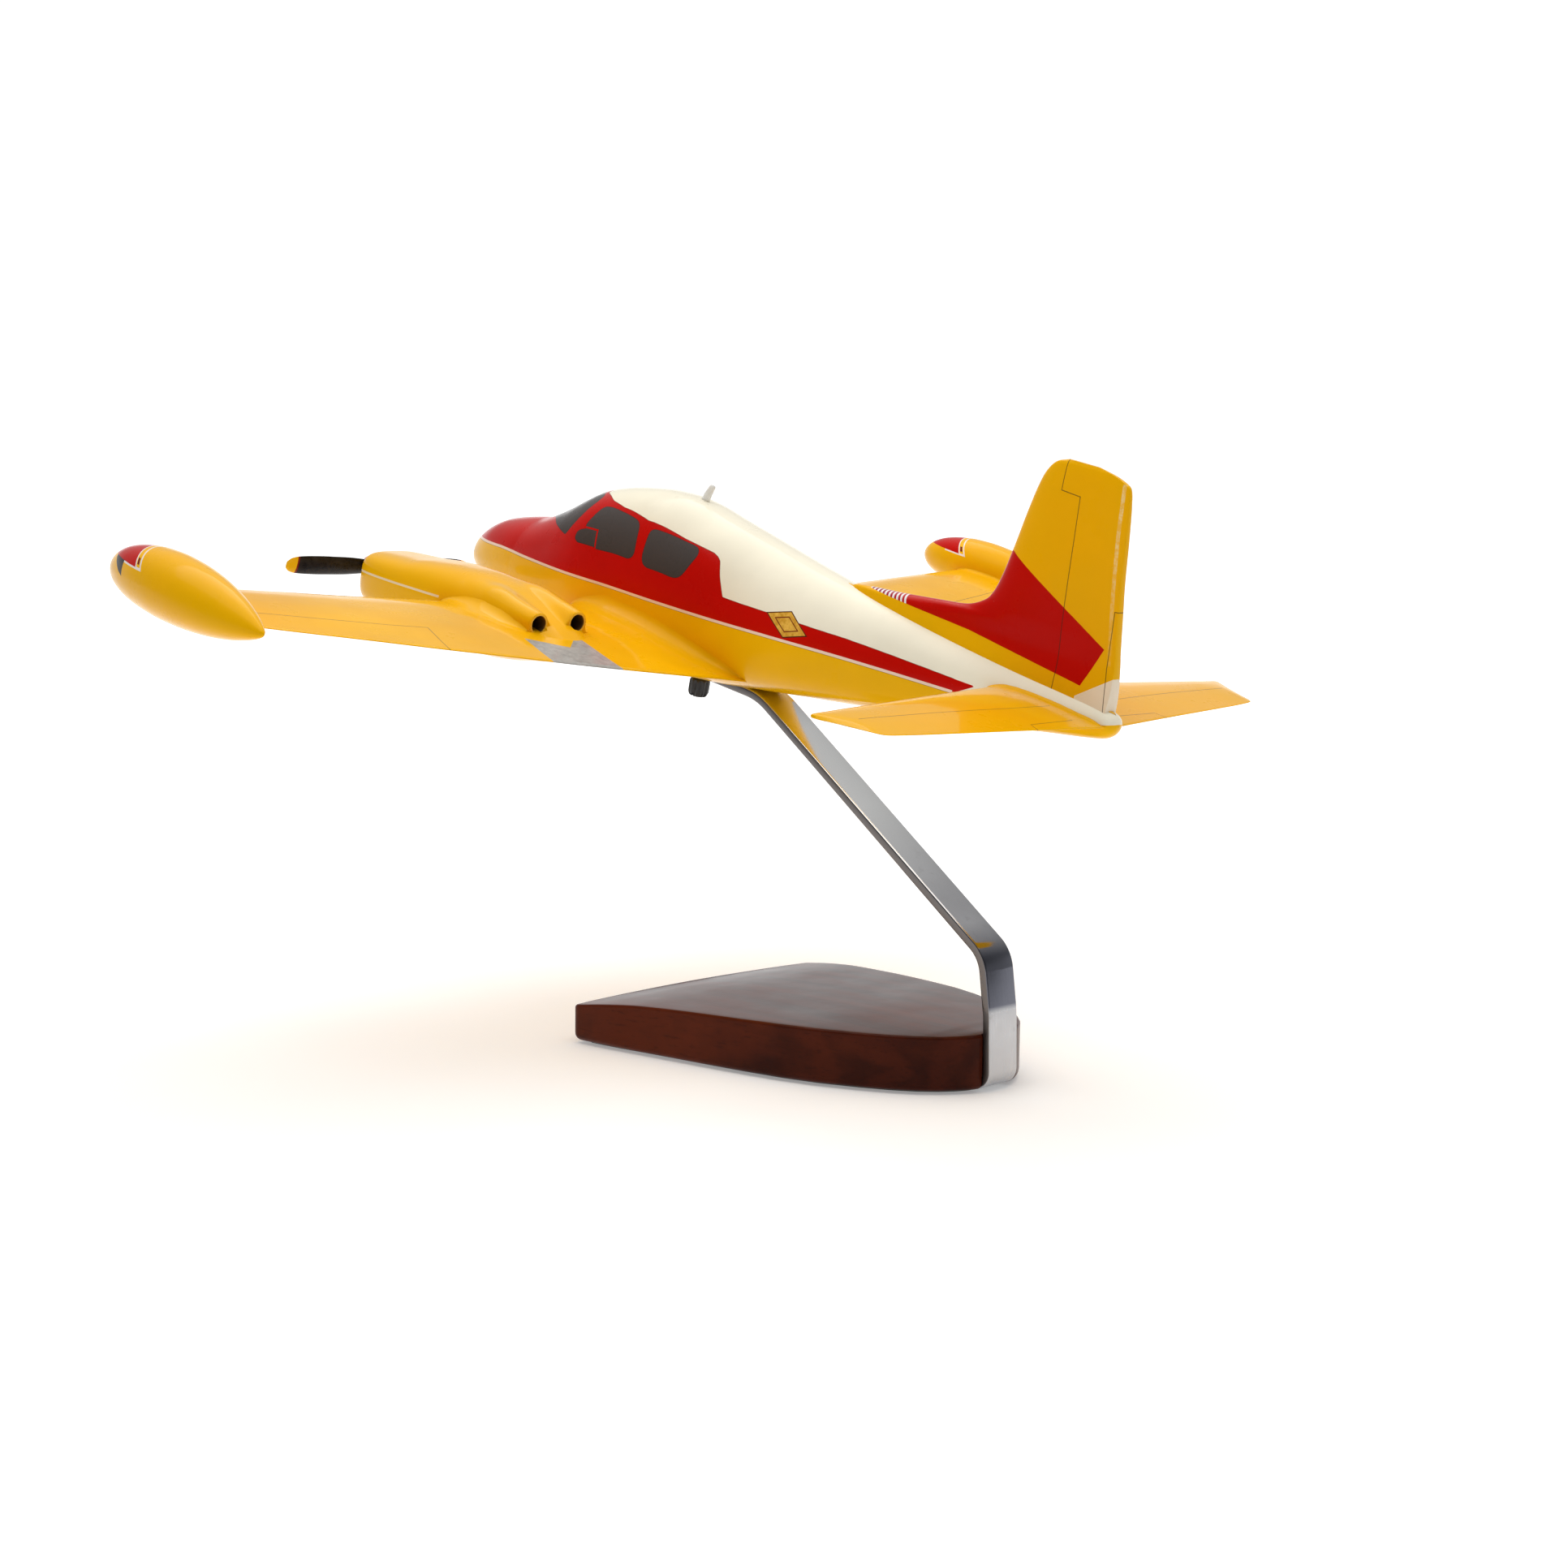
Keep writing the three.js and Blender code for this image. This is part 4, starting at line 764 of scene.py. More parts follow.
col = m.mix(m.math("MULTIPLY", pen, 0.8), col, (0.05, 0.02, 0.012))
fin_mat = finish_paint(m, col)
fin.data.materials.append(fin_mat)
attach(fin, ROOT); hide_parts("tail_fin")


# ------------------------------------------------------------------ nacelle with its two exhaust fairings
def superd(x, w, x0, a, t, b, c, nu, nl):
    """Near-distance to an egg section, negative inside."""
    n = np.where(w >= c, nu, nl)
    h = np.where(w >= c, t - c, c - b)
    f = (np.abs((x - x0) / a) ** n + np.abs((w - c) / h) ** n) ** (1 / n)
    return (f - 1) * np.sqrt(a * h)


def smin(a, b, k):
    h = np.clip(0.5 + 0.5 * (b - a) / k, 0, 1)
    return b * (1 - h) + a * h - k * h * (1 - h)


nv = np.concatenate([round_ends(-113.5, 12.0, 150), [EXH_V - 0.45, EXH_V - 0.2, EXH_V - 0.05, EXH_V, EXH_V + 0.02]])
nv = np.unique(np.round(nv[(np.abs(nv - EXH_V) < 1e-6) | (np.abs(nv - EXH_V) > 0.01)], 4))
NR = NAC.all(nv)
NM = 200
na = np.arange(NM) / NM * 2 * math.pi
G = []
for i, v in enumerate(nv):
    a_, t_, b_, c_, n_ = (c[i] for c in NR)
    oc = (t_ + b_) / 2 if v > -4 else -10.8
    if v > -4:
        oc = c_
    R = np.linspace(0.01, 32, 240)
    x = NAC_X + np.outer(np.cos(na), R)
    w = oc + np.outer(np.sin(na), R)
    d = superd(x, w, NAC_X, max(a_, 0.05), max(t_, c_ + 0.05), min(b_, c_ - 0.05), c_, n_, n_)
    if -52 <= v <= EXH_V:
        p = [np.interp(v, POD[:, 0], POD[:, k]) for k in range(1, 7)]
        p = [pchip(POD[:, 0], POD[:, k], np.array([v]))[0] for k in range(1, 7)]
        lip = max(0.0, v - (EXH_V - 0.45)) / 0.45
        shrink = 0.45 * (1 - math.sqrt(max(0.0, 1 - lip * lip)))
        fade = min(1.0, (v + 52) / 16)
        for x0 in EXH_X:
            dp = superd(x, w, x0, p[0] - shrink, p[1] - shrink, p[2] + shrink, p[3], p[4], p[5]) + (1 - fade) * 2.4
            d = smin(d, dp, 2.6)
    outside = d > 0
    idx = np.where(outside, 0, np.arange(len(R))[None]).max(1)
    idx = np.minimum(idx, len(R) - 2)
    r = np.arange(NM)
    d0, d1 = d[r, idx], d[r, idx + 1]
    tt = np.clip(d0 / np.where(np.abs(d0 - d1) < 1e-9, 1e-9, d0 - d1), 0, 1)
    rad = R[idx] + tt * (R[idx + 1] - R[idx])
    G.append(np.stack([NAC_X + rad * np.cos(na), np.full(NM, v), oc + rad * np.sin(na)], 1))
nac_G = np.array(G)

m = Mat("livery_nacelle")
X, V, W, vec = m.local()
AX = m.math("ABSOLUTE", X)
col = m.mix(m.rng(m.noise(0.02, 3, 0.6, vec=vec), 0.35, 0.65, 0, 1), YELLOW, YELLOW_DEEP)
sd = m.math("ADD", W, m.math("MULTIPLY_ADD", V, -0.0664, 2.74))
st = m.both(m.inside(m.math("ADD", m.math("ABSOLUTE", sd), -0.42)), m.inside(m.math("ADD", V, 57.6)), m.rng(m.math("ABSOLUTE", m.math("ADD", AX, -NAC_X)), 6.0, 6.2, 0, 1))
col = m.mix(st, col, (0.90, 0.70, 0.44))


def hole(m, AX, W, x0, w0, r):
    return m.math("ADD", m.math("SQRT", m.math("ADD", m.math("POWER", m.math("ADD", AX, -x0), 2.0), m.math("POWER", m.math("ADD", W, -w0), 2.0))), -r)


for x0 in EXH_X:
    d = hole(m, AX, W, x0, EXH_W, EXH_R + 0.12)
    near = m.both(m.rng(V, -19.5, -19.4, 0, 1), m.rng(V, EXH_V + 0.3, EXH_V + 0.4, 1, 0))
    # dark paint inside each exhaust bore, with painted shade making it darker further in
    bore_paint_and_shade = m.both(m.inside(m.math("ADD", d, 0.0), 0.05), near)
    col = m.mix(bore_paint_and_shade, col, m.mix(m.rng(V, -16, EXH_V - 0.5, 0, 1), (0.014, 0.007, 0.003), (0.13, 0.070, 0.022)))
    rimm = m.both(m.inside(m.math("ADD", m.math("ABSOLUTE", m.math("ADD", d, -0.35)), -0.3), 0.12), m.rng(V, EXH_V - 0.5, EXH_V - 0.2, 0, 0.55), near)
    col = m.mix(rimm, col, (0.88, 0.60, 0.10))
intake_v = m.inside(m.math("ADD", V, 113.62), 0.02)
for sgn in (-1, 1):
    e = m.math("SQRT", m.math("ADD", m.math("POWER", m.math("DIVIDE", m.math("ADD", AX, -(NAC_X + sgn * 7.0)), 3.35), 2.0), m.math("POWER", m.math("DIVIDE", m.math("ADD", W, -(PROP_W + 0.2)), 2.45), 2.0)))
    inn = m.both(m.rng(e, 1.0, 1.05, 1, 0), m.rng(V, -112.9, -112.7, 0, 1), m.rng(V, -110.6, -110.4, 1, 0))
    col = m.mix(inn, col, (0.03, 0.02, 0.012))
nac_mat = finish_paint(m, col)


def oval_cutter(x0, w0, ax_, wx_, v0, v1, k=1.0):
    th = np.arange(48) / 48 * 2 * math.pi
    rings = []
    for v, s in ((v0, 1.12), (v0 + 1.0, 1.0), (v1, 0.94)):
        rings.append(np.stack([x0 + ax_ * s * np.cos(th), np.full(48, v), w0 + wx_ * s * np.sin(th)], 1))
    return np.array(rings)


# ------------------------------------------------------------------ putty fillets where one carved piece meets another
def fillet(name, vs, inside, height, R, x_far, x_near, side=1.0, up=1.0, mirror=False, mat=None, stretch=1.25, sink=0.25):
    """A bead along v in the crease between a body (inside(x, w, v)) and a surface w = height(x, v).
    x runs from x_far, outside the body, to x_near, inside it; up is 1 on top of the surface and -1 under it."""
    rings = []
    for v in vs:
        r = float(R(v))
        if r < 0.08:
            continue
        xs = np.linspace(x_far, x_near, 400)
        hs = height(xs, v)
        ok = np.abs(hs) < 90
        if not ok.any():
            continue
        ins = inside(xs, hs + up * 0.02, v) & ok
        if not ins.any():
            continue
        i = int(np.argmax(ins))
        if i == 0:
            continue
        xi, hi = xs[i], hs[i]
        # up the body by r
        ws = hi + up * r
        inw = inside(xs, np.full_like(xs, ws), v)
        if not inw.any():
            continue
        xa = xs[int(np.argmax(inw))]
        d = 1.0 if x_far > x_near else -1.0
        xb = xi + d * r * stretch
        hb = float(height(np.array([xb]), v)[0])
        if abs(hb) > 90:
            continue
        A, Pc, B = np.array([xa, ws]), np.array([xi, hi]), np.array([xb, hb])
        t = np.linspace(0, 1, 9)[:, None]
        curve = (1 - t) ** 2 * A + 2 * t * (1 - t) * Pc + t ** 2 * B
        deep = Pc + np.array([-d * max(sink, 0.3 * r), -up * max(sink, 0.3 * r)])
        rings.append(np.concatenate([np.column_stack([curve[:, 0], np.full(9, v), curve[:, 1]]), [[deep[0], v, deep[1]]]]))
    if len(rings) < 3:
        raise RuntimeError(f"{name}: no crease found")
    G = np.array(rings)
    for _ in range(2):
        G[1:-1] = 0.25 * G[:-2] + 0.5 * G[1:-1] + 0.25 * G[2:]
    o = grid(name, to_row(G), mirror=mirror, sharp=60)
    o.data.materials.append(mat)
    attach(o, ROOT)
    return o


def in_fuselage(x, w, v):
    a, t, b, c, nu, nl = (np.interp(v, fus_v, col_) for col_ in FR)
    return superd(x, w, 0.0, a, t, b, c, nu, nl) < 0


nac_rad = np.hypot(nac_G[..., 0] - NAC_X, 0)


def in_nacelle(x, w, v):
    a, t, b, c, n = (np.interp(v, nv, col_) for col_ in NR)
    d = superd(x, w, NAC_X, a, t, b, c, n, n)
    if -52 <= v <= EXH_V:
        p = [np.interp(v, POD[:, 0], POD[:, k]) for k in range(1, 7)]
        fade = min(1.0, (v + 52) / 16)
        for x0 in EXH_X:
            d = smin(d, superd(x, w, x0, p[0], p[1], p[2], p[3], p[4], p[5]) + (1 - fade) * 2.4, 2.6)
    return d < 0


def in_tank(x, w, v):
    if v <= -84 or v >= 5.8:
        return np.zeros(np.shape(x), bool)
    r, c = TANK.at(v, 1), TANK.at(v, 2)
    return np.hypot(x - TANK_X, w - c) < r


def bell(v0, v1, rise, fall):
    return lambda v: max(0.0, min(1.0, (v - v0) / rise)) ** 0.6 * max(0.0, min(1.0, (v1 - v) / fall)) ** 0.6


def stab_top(x, v):
    le, te = np.interp(x, STAB[:, 0], STAB[:, 1]), np.interp(x, STAB[:, 0], STAB[:, 2])
    f = (v - le) / (te - le)
    return np.where((f < 0) | (f > 1), -99.0, np.interp(x, STAB[:, 0], STAB[:, 3]) + np.interp(x, STAB[:, 0], STAB[:, 4]) * foil_share(f))


def stab_under(x, v):
    le, te = np.interp(x, STAB[:, 0], STAB[:, 1]), np.interp(x, STAB[:, 0], STAB[:, 2])
    f = (v - le) / (te - le)
    return np.where((f < 0) | (f > 1), 99.0, np.interp(x, STAB[:, 0], STAB[:, 3]) - np.interp(x, STAB[:, 0], STAB[:, 4]) * foil_share(f))


plain = Mat("livery_fillet")
_x, _v, _w, vec = plain.local()
plain_mat = finish_paint(plain, plain.mix(plain.rng(plain.noise(0.02, 3, 0.6, vec=vec), 0.35, 0.65, 0, 1), YELLOW, YELLOW_DEEP))

m = Mat("livery_tank")
X, V, W, vec = m.local()
AX = m.math("ABSOLUTE", X)
wob = m.math("MULTIPLY_ADD", m.noise(0.3, 1, 0.5, vec=vec), 0.14, -0.07)
col = m.mix(m.rng(m.noise(0.02, 3, 0.6, vec=vec), 0.35, 0.65, 0, 1), YELLOW, YELLOW_DEEP)
# the rear edge of the red cap slopes forward as it climbs
edge = m.math("MULTIPLY_ADD", W, 0.95, V)
top7 = m.math("SUBTRACT", 7.0, W)
red = m.math("MAXIMUM", top7, m.math("ADD", edge, 50.0))
out1 = m.math("MAXIMUM", m.math("ADD", top7, -0.55), m.math("ADD", edge, 49.3))
in2 = m.math("MAXIMUM", m.math("ADD", top7, 0.25), m.math("ADD", edge, 47.0))
out2 = m.math("MAXIMUM", m.math("ADD", top7, -0.55), m.math("ADD", edge, 46.2))
aft = m.rng(V, -66.3, -66.0, 0, 1)
col = m.mix(m.both(m.inside(m.math("ADD", out2, wob)), aft), col, WHITE)
col = m.mix(m.both(m.inside(in2), aft), col, YELLOW)
dash = m.both(m.inside(in2), m.rng(W, 8.0, 8.1, 0, 1), m.rng(W, 9.9, 10.0, 1, 0), m.rng(edge, -48.9, -48.8, 0, 1), m.rng(edge, -47.6, -47.5, 1, 0))
col = m.mix(dash, col, (0.18, 0.01, 0.01))
col = m.mix(m.both(m.inside(out1), aft), col, WHITE)
col = m.mix(m.inside(m.math("ADD", red, wob)), col, RED)
lens = m.both(m.inside(m.polygon(V, W, [(-79.0, 7.05), (-65.8, 7.05), (-64.2, 1.2), (-67.6, 3.0)])), m.rng(AX, TANK_X + 2, TANK_X + 2.2, 0, 1))
col = m.mix(lens, col, (0.045, 0.040, 0.042))
tank_mat = finish_paint(m, col)

tv = round_ends(-84.2, 6.0, 110, dense=(-84, -45, 1.5))
tr, tw = soften(TANK.at(tv, 1), 3), soften(TANK.at(tv, 2), 3)
ta = np.arange(140) / 140 * 2 * math.pi
tank_G = np.stack([TANK_X + tr[:, None] * np.cos(ta), np.repeat(tv[:, None], 140, 1), tw[:, None] + tr[:, None] * np.sin(ta)], -1)

for side, mir in (("port", False), ("starboard", True)):
    o = grid(f"{side}_wing_panel", to_row(wing_G), mirror=mir)
    o.data.materials.append(wing_mat)
    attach(o, ROOT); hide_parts(f"{side}_wing")

    o = grid(f"{side}_stabilizer_panel", to_row(stab_G), mirror=mir)
    o.data.materials.append(stab_mat)
    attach(o, ROOT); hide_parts(f"{side}_stabilizer")

    o = grid(f"{side}_tank_shell", to_row(tank_G), mirror=mir)
    o.data.materials.append(tank_mat)
    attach(o, ROOT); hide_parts(f"{side}_tip_tank")

    o = grid(f"{side}_nacelle_cowl", to_row(nac_G), mirror=mir)
    cut_tools = []
    for x0 in EXH_X:
        G = oval_cutter(x0, EXH_W, EXH_R, EXH_R, EXH_V - 9, EXH_V + 2)
        G[0, :, :] = G[0, :, :]
        th = np.arange(64) / 64 * 2 * math.pi
        rows = [(-19.2, EXH_R * 0.9), (-10.2, EXH_R), (-9.35, EXH_R), (-9.0, EXH_R + 0.22), (-7.0, EXH_R + 0.3)]
        G = np.array([np.stack([x0 + r * np.cos(th), np.full(64, v), EXH_W - 0.04 * (EXH_V - v) + r * np.sin(th)], 1) for v, r in rows])
        cut_tools.append(grid("tool", to_row(G), mirror=mir))
    for sgn in (-1, 1):
        th = np.arange(48) / 48 * 2 * math.pi
        rows = [(-115.0, 1.1), (-113.4, 1.02), (-112.9, 0.97), (-111.0, 0.93)]
        G = np.array([np.stack([NAC_X + sgn * 7.0 + 3.3 * r * np.cos(th), np.full(48, v), PROP_W + 0.2 + 2.4 * r * np.sin(th)], 1) for v, r in rows])
        cut_tools.append(grid("tool", to_row(G), mirror=mir))
    th = np.arange(32) / 32 * 2 * math.pi
    G = np.array([np.stack([NAC_X + 1.3 * np.cos(th), np.full(32, v), PROP_W + 1.3 * np.sin(th)], 1) for v in (-116.0, -97.0)])
    cut_tools.append(grid("tool", to_row(G), mirror=mir))
    subtract(o, *cut_tools)
    o.data.polygons.foreach_set("use_smooth", np.ones(len(o.data.polygons), bool))
    o.data.set_sharp_from_angle(angle=math.radians(38))
    o.data.materials.clear()
    o.data.materials.append(nac_mat)
    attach(o, ROOT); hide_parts(f"{side}_nacelle")

    root_b = bell(-61, 33.5, 24, 7)
    fillet(f"{side}_wing_root_fillet_top", np.linspace(-60.5, 33.2, 120), in_fuselage, wing_top, lambda v: 5.2 * root_b(v), 60, 5, mirror=mir, mat=plain_mat, stretch=1.6)
    fillet(f"{side}_wing_root_fillet_under", np.linspace(-60.5, 33.2, 120), in_fuselage, wing_under, lambda v: 2.4 * root_b(v), 60, 5, up=-1.0, mirror=mir, mat=plain_mat)
    nb = bell(-58.5, -8.4, 26, 22.0)
    fillet(f"{side}_nacelle_fillet_outer", np.linspace(-57.6, -9.3, 90), in_nacelle, wing_top, lambda v: 5.6 * nb(v), 130, NAC_X, mirror=mir, mat=plain_mat, stretch=1.7)
    fillet(f"{side}_nacelle_fillet_inner", np.linspace(-57.6, -9.3, 90), in_nacelle, wing_top, lambda v: 5.6 * nb(v), 30, NAC_X, mirror=mir, mat=plain_mat, stretch=1.7)
    nu_ = bell(-57.8, 0.0, 14, 20)
    fillet(f"{side}_nacelle_fillet_outer_under", np.linspace(-57.4, -1.0, 80), in_nacelle, wing_under, lambda v: 2.4 * nu_(v), 130, NAC_X, up=-1.0, mirror=mir, mat=plain_mat)
    fillet(f"{side}_nacelle_fillet_inner_under", np.linspace(-57.4, -1.0, 80), in_nacelle, wing_under, lambda v: 2.4 * nu_(v), 30, NAC_X, up=-1.0, mirror=mir, mat=plain_mat)
    tb = bell(-57, -9.5, 8, 6)
    fillet(f"{side}_tank_fillet_top", np.linspace(-56.2, -10.5, 70), in_tank, wing_top, lambda v: 1.4 * tb(v), 188, 212, mirror=mir, mat=plain_mat)
    fillet(f"{side}_tank_fillet_under", np.linspace(-56.2, -10.5, 70), in_tank, wing_under, lambda v: 1.2 * tb(v), 188, 212, up=-1.0, mirror=mir, mat=plain_mat)
    sb = bell(140.5, 187.5, 7, 4)
    fillet(f"{side}_stabilizer_fillet_top", np.linspace(141, 187, 70), in_fuselage, stab_top, lambda v: 1.7 * sb(v), 26, 1.5, mirror=mir, mat=plain_mat)
    fillet(f"{side}_stabilizer_fillet_under", np.linspace(141, 187, 70), in_fuselage, stab_under, lambda v: 1.5 * sb(v), 26, 1.5, up=-1.0, mirror=mir, mat=plain_mat)


# ------------------------------------------------------------------ propellers and spinners
BLADE = np.array([
    [2.0, 5.4, 1.9, 38], [6, 6.6, 1.7, 34], [11, 7.8, 1.4, 28], [18, 8.4, 1.15, 23], [27, 8.4, 0.95, 19],
    [35, 8.0, 0.8, 16], [40, 7.2, 0.7, 14], [43, 5.6, 0.6, 13], [44.6, 3.0, 0.45, 12],
])
m = Mat("propeller_paint")
X, V, W, vec = m.local()
AX = m.math("ABSOLUTE", X)
AT = m.attr("reach")
wear = m.noise(0.4, 4, 0.65, vec=vec)
black = m.mix(m.rng(wear, 0.45, 0.7, 0, 1), (0.010, 0.008, 0.008), (0.024, 0.019, 0.017))
tip_edge = m.math("MULTIPLY_ADD", wear, 0.5, m.math("ADD", AT, -0.25))
col = m.mix(m.rng(tip_edge, 39.45, 39.6, 0, 1), black, (0.22, 0.012, 0.006))
col = m.mix(m.rng(tip_edge, 40.2, 40.35, 0, 1), col, YELLOW)
m.link(col, m.p.inputs["Base Color"])
m.link(m.rng(wear, 0.3, 0.7, 0.22, 0.38), m.p.inputs["Roughness"])
m.p.inputs["Specular IOR Level"].default_value = 0.15
m.p.inputs["Coat Weight"].default_value = 0.12
m.p.inputs["Coat Roughness"].default_value = 0.12
brush = m.node("ShaderNodeMapping")
m.link(vec, brush.inputs["Vector"])
brush.inputs["Scale"].default_value = (0.25, 2.2, 2.2)
m.link(m.bump(m.noise(1.0, 3, 0.6, vec=brush.outputs[0]), 0.12, 0.0002), m.p.inputs["Normal"])
prop_mat = m.m

m = Mat("spinner_paint")
X, V, W, vec = m.local()
col = m.mix(m.rng(m.noise(0.08, 3, 0.6, vec=vec), 0.35, 0.65, 0, 1), RED, (0.42, 0.006, 0.004))
red_mat = finish_paint(m, col)

tilt = math.radians(2.0)
for side, mir in (("port", False), ("starboard", True)):
    pieces_ = []
    for k in (0, 1):
        rr = np.concatenate([np.linspace(2, 40, 56), 40 + 4.6 * (1 - (1 - np.linspace(0.06, 1, 22)) ** 2)])
        cc, hh, tw_ = (soften(pchip(BLADE[:, 0], BLADE[:, q], rr), 2) for q in (1, 2, 3))
        th = np.arange(40) / 40 * 2 * math.pi
        G = []
        for i, r in enumerate(rr):
            a = math.radians(tw_[i])
            u = cc[i] / 2 * np.cos(th)
            h = hh[i] * np.sin(th) * (1 - 0.25 * np.cos(th)) * np.abs(np.sin(th)) ** 0.15
            G.append(np.stack([np.full(40, r), u * math.sin(a) + h * math.cos(a), u * math.cos(a) - h * math.sin(a)], 1))
        G = np.array(G)
        reach = np.repeat(rr[:, None], 40, 1)
        if k:
            G = G * np.array([-1, 1, -1])
        ct, st_ = math.cos(-tilt), math.sin(-tilt)
        x, z = G[..., 0].copy(), G[..., 2].copy()
        G[..., 0] = x * ct + z * st_
        G[..., 2] = -x * st_ + z * ct
        G = G + np.array([NAC_X, PROP_PLANE, PROP_W])
        o = grid(f"{side}_blade_{k + 1}", to_row(G), {"reach": reach}, mirror=mir)
        o.data.materials.append(prop_mat)
        pieces_.append(o)
    rows = [[1.05, -3.4]] + arc((3.8, -2.9), 0.5, -90, 0, 5) + arc((3.8, 2.9), 0.5, 0, 90, 5) + [[1.05, 3.4]]
    mm = -1 if mir else 1
    hub = turned_ring(rows, 64, (mm * NAC_X, PROP_PLANE, PROP_W), f"{side}_hub")
    hub.data.materials.append(prop_mat)
    pieces_.append(hub)
    for o in pieces_:
        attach(o, f"{side}_propeller")
        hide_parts(f"{side}_propeller")
    prof = [[0.02, -5.3], [2.2, -5.3], [2.2, -3.55], [3.1, -3.55], [3.3, -3.63], [3.4, -3.85], [3.41, -4.5], [3.36, -5.1], [3.25, -5.7],
            [3.1, -6.4], [2.9, -7.1], [2.62, -7.8], [2.3, -8.5], [1.87, -9.2], [1.4, -9.8], [1.0, -10.15], [0.6, -10.38], [0.3, -10.47], [0.02, -10.5]]
    o = lathe(prof, 72, (mm * NAC_X, PROP_PLANE, PROP_W), name=f"{side}_spinner_cone", sharp=45)
    o.data.materials.append(red_mat)
    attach(o, f"{side}_propeller"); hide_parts(f"{side}_spinner")


# ------------------------------------------------------------------ antenna on the cabin roof
ANT = np.array([[36.5, -19.6, 1.1, 0.7], [39.0, -19.5, 1.2, 0.7], [40.0, -19.3, 2.25, 0.9], [41.3, -18.7, 2.15, 0.8], [43.4, -17.8, 1.9, 0.7], [45.3, -16.8, 1.7, 0.6], [46.4, -16.4, 1.1, 0.4]])
ah = np.concatenate([np.linspace(36.5, 45.2, 36), 45.2 + 1.3 * np.sin(np.linspace(0.08, 1, 16) * math.pi / 2)])
av, aa, ab = (pchip(ANT[:, 0], ANT[:, k], ah) for k in (1, 2, 3))
cap = np.sqrt(np.maximum(0.004, 1 - ((ah[36:] - 45.2) / 1.302) ** 2))
aa[36:], ab[36:] = 1.7 * cap, 0.6 * cap
th = np.arange(40) / 40 * 2 * math.pi
G = np.stack([ab[:, None] * np.sin(th), av[:, None] + aa[:, None] * np.cos(th), np.repeat(ah[:, None], 40, 1)], -1)
ant = grid("antenna_blade", to_row(G), sharp=60)
m = Mat("antenna_enamel")
X, V, W, vec = m.local()
wear = m.noise(0.7, 4, 0.6, vec=vec)
col = m.mix(m.rng(wear, 0.35, 0.7, 0, 1), (0.92, 0.91, 0.88), (0.84, 0.82, 0.77))
# darker towards the foot, where the blade meets the roof
foot = m.math("MULTIPLY_ADD", wear, 0.8, m.math("ADD", W, -0.4))
col = m.mix(m.rng(foot, 39.9, 40.5, 0.5, 0), col, (0.66, 0.63, 0.56))
m.link(col, m.p.inputs["Base Color"])
m.link(m.rng(wear, 0.3, 0.7, 0.25, 0.42), m.p.inputs["Roughness"])
m.link(m.bump(wear, 0.2, 0.0002), m.p.inputs["Normal"])
ant.data.materials.append(m.m)
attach(ant, ROOT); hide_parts("roof_antenna")


# ------------------------------------------------------------------ display arm
ARM_W, ARM_T, LEG_LOW, FOOT_Z = 15.1, 3.46, -25.2, 1.15


def row_point(v, w):
    return [v * CP + w * SP + PLANE_Y, -v * SP + w * CP + PLANE_Z]


ARM_LINE = [[*row_point(-13.0, LEG_LOW + ARM_T), 0], [*row_point(33.0, LEG_LOW + ARM_T), 30], [77.9, 49.0, 15], [80.8, 28.0, 55], [81.6, FOOT_Z, 6.2], [38.0, FOOT_Z, 0]]


def bent_path(line, step=3.0):
    """Points and inward normals along the outer face of the bar."""
    pts, nrm = [], []
    for i, (y, z, r) in enumerate(line):
        if not r:
            q = line[1] if i == 0 else line[i - 1]
            d = np.array([q[0] - y, q[1] - z]) if i == 0 else np.array([y - q[0], z - q[1]])
            d /= np.hypot(*d)
            pts.append([y, z]); nrm.append([d[1], -d[0]])
            continue
        P = np.array([y, z])
        A = np.array(line[i - 1][:2]) - P; A /= np.hypot(*A)
        B = np.array(line[i + 1][:2]) - P; B /= np.hypot(*B)
        h = math.acos(float(A @ B)) / 2
        d = r / math.tan(h)
        mid = A + B; mid /= np.hypot(*mid)
        C = P + mid * (r / math.sin(h))
        s, e = P + A * d - C, P + B * d - C
        turn = math.atan2(e[1], e[0]) - math.atan2(s[1], s[0])
        turn = (turn + math.pi) % (2 * math.pi) - math.pi
        n = max(6, round(abs(turn) / math.radians(step)))
        a0 = math.atan2(s[1], s[0])
        for k in range(n + 1):
            a = a0 + turn * k / n
            p = C + r * np.array([math.cos(a), math.sin(a)])
            pts.append(p.tolist()); nrm.append(((C - p) / r).tolist())
    # fill the straight runs so that no face is very long
    op, on = [pts[0]], [nrm[0]]
    for p, q, a, b in zip(pts, pts[1:], nrm, nrm[1:]):
        L = math.hypot(q[0] - p[0], q[1] - p[1])
        k = max(1, int(L / 5))
        for t in range(1, k + 1):
            f = t / k
            op.append([p[0] + (q[0] - p[0]) * f, p[1] + (q[1] - p[1]) * f])
            nn = np.array([a[0] + (b[0] - a[0]) * f, a[1] + (b[1] - a[1]) * f])
            on.append((nn / np.hypot(*nn)).tolist())
    return np.array(op), np.array(on)


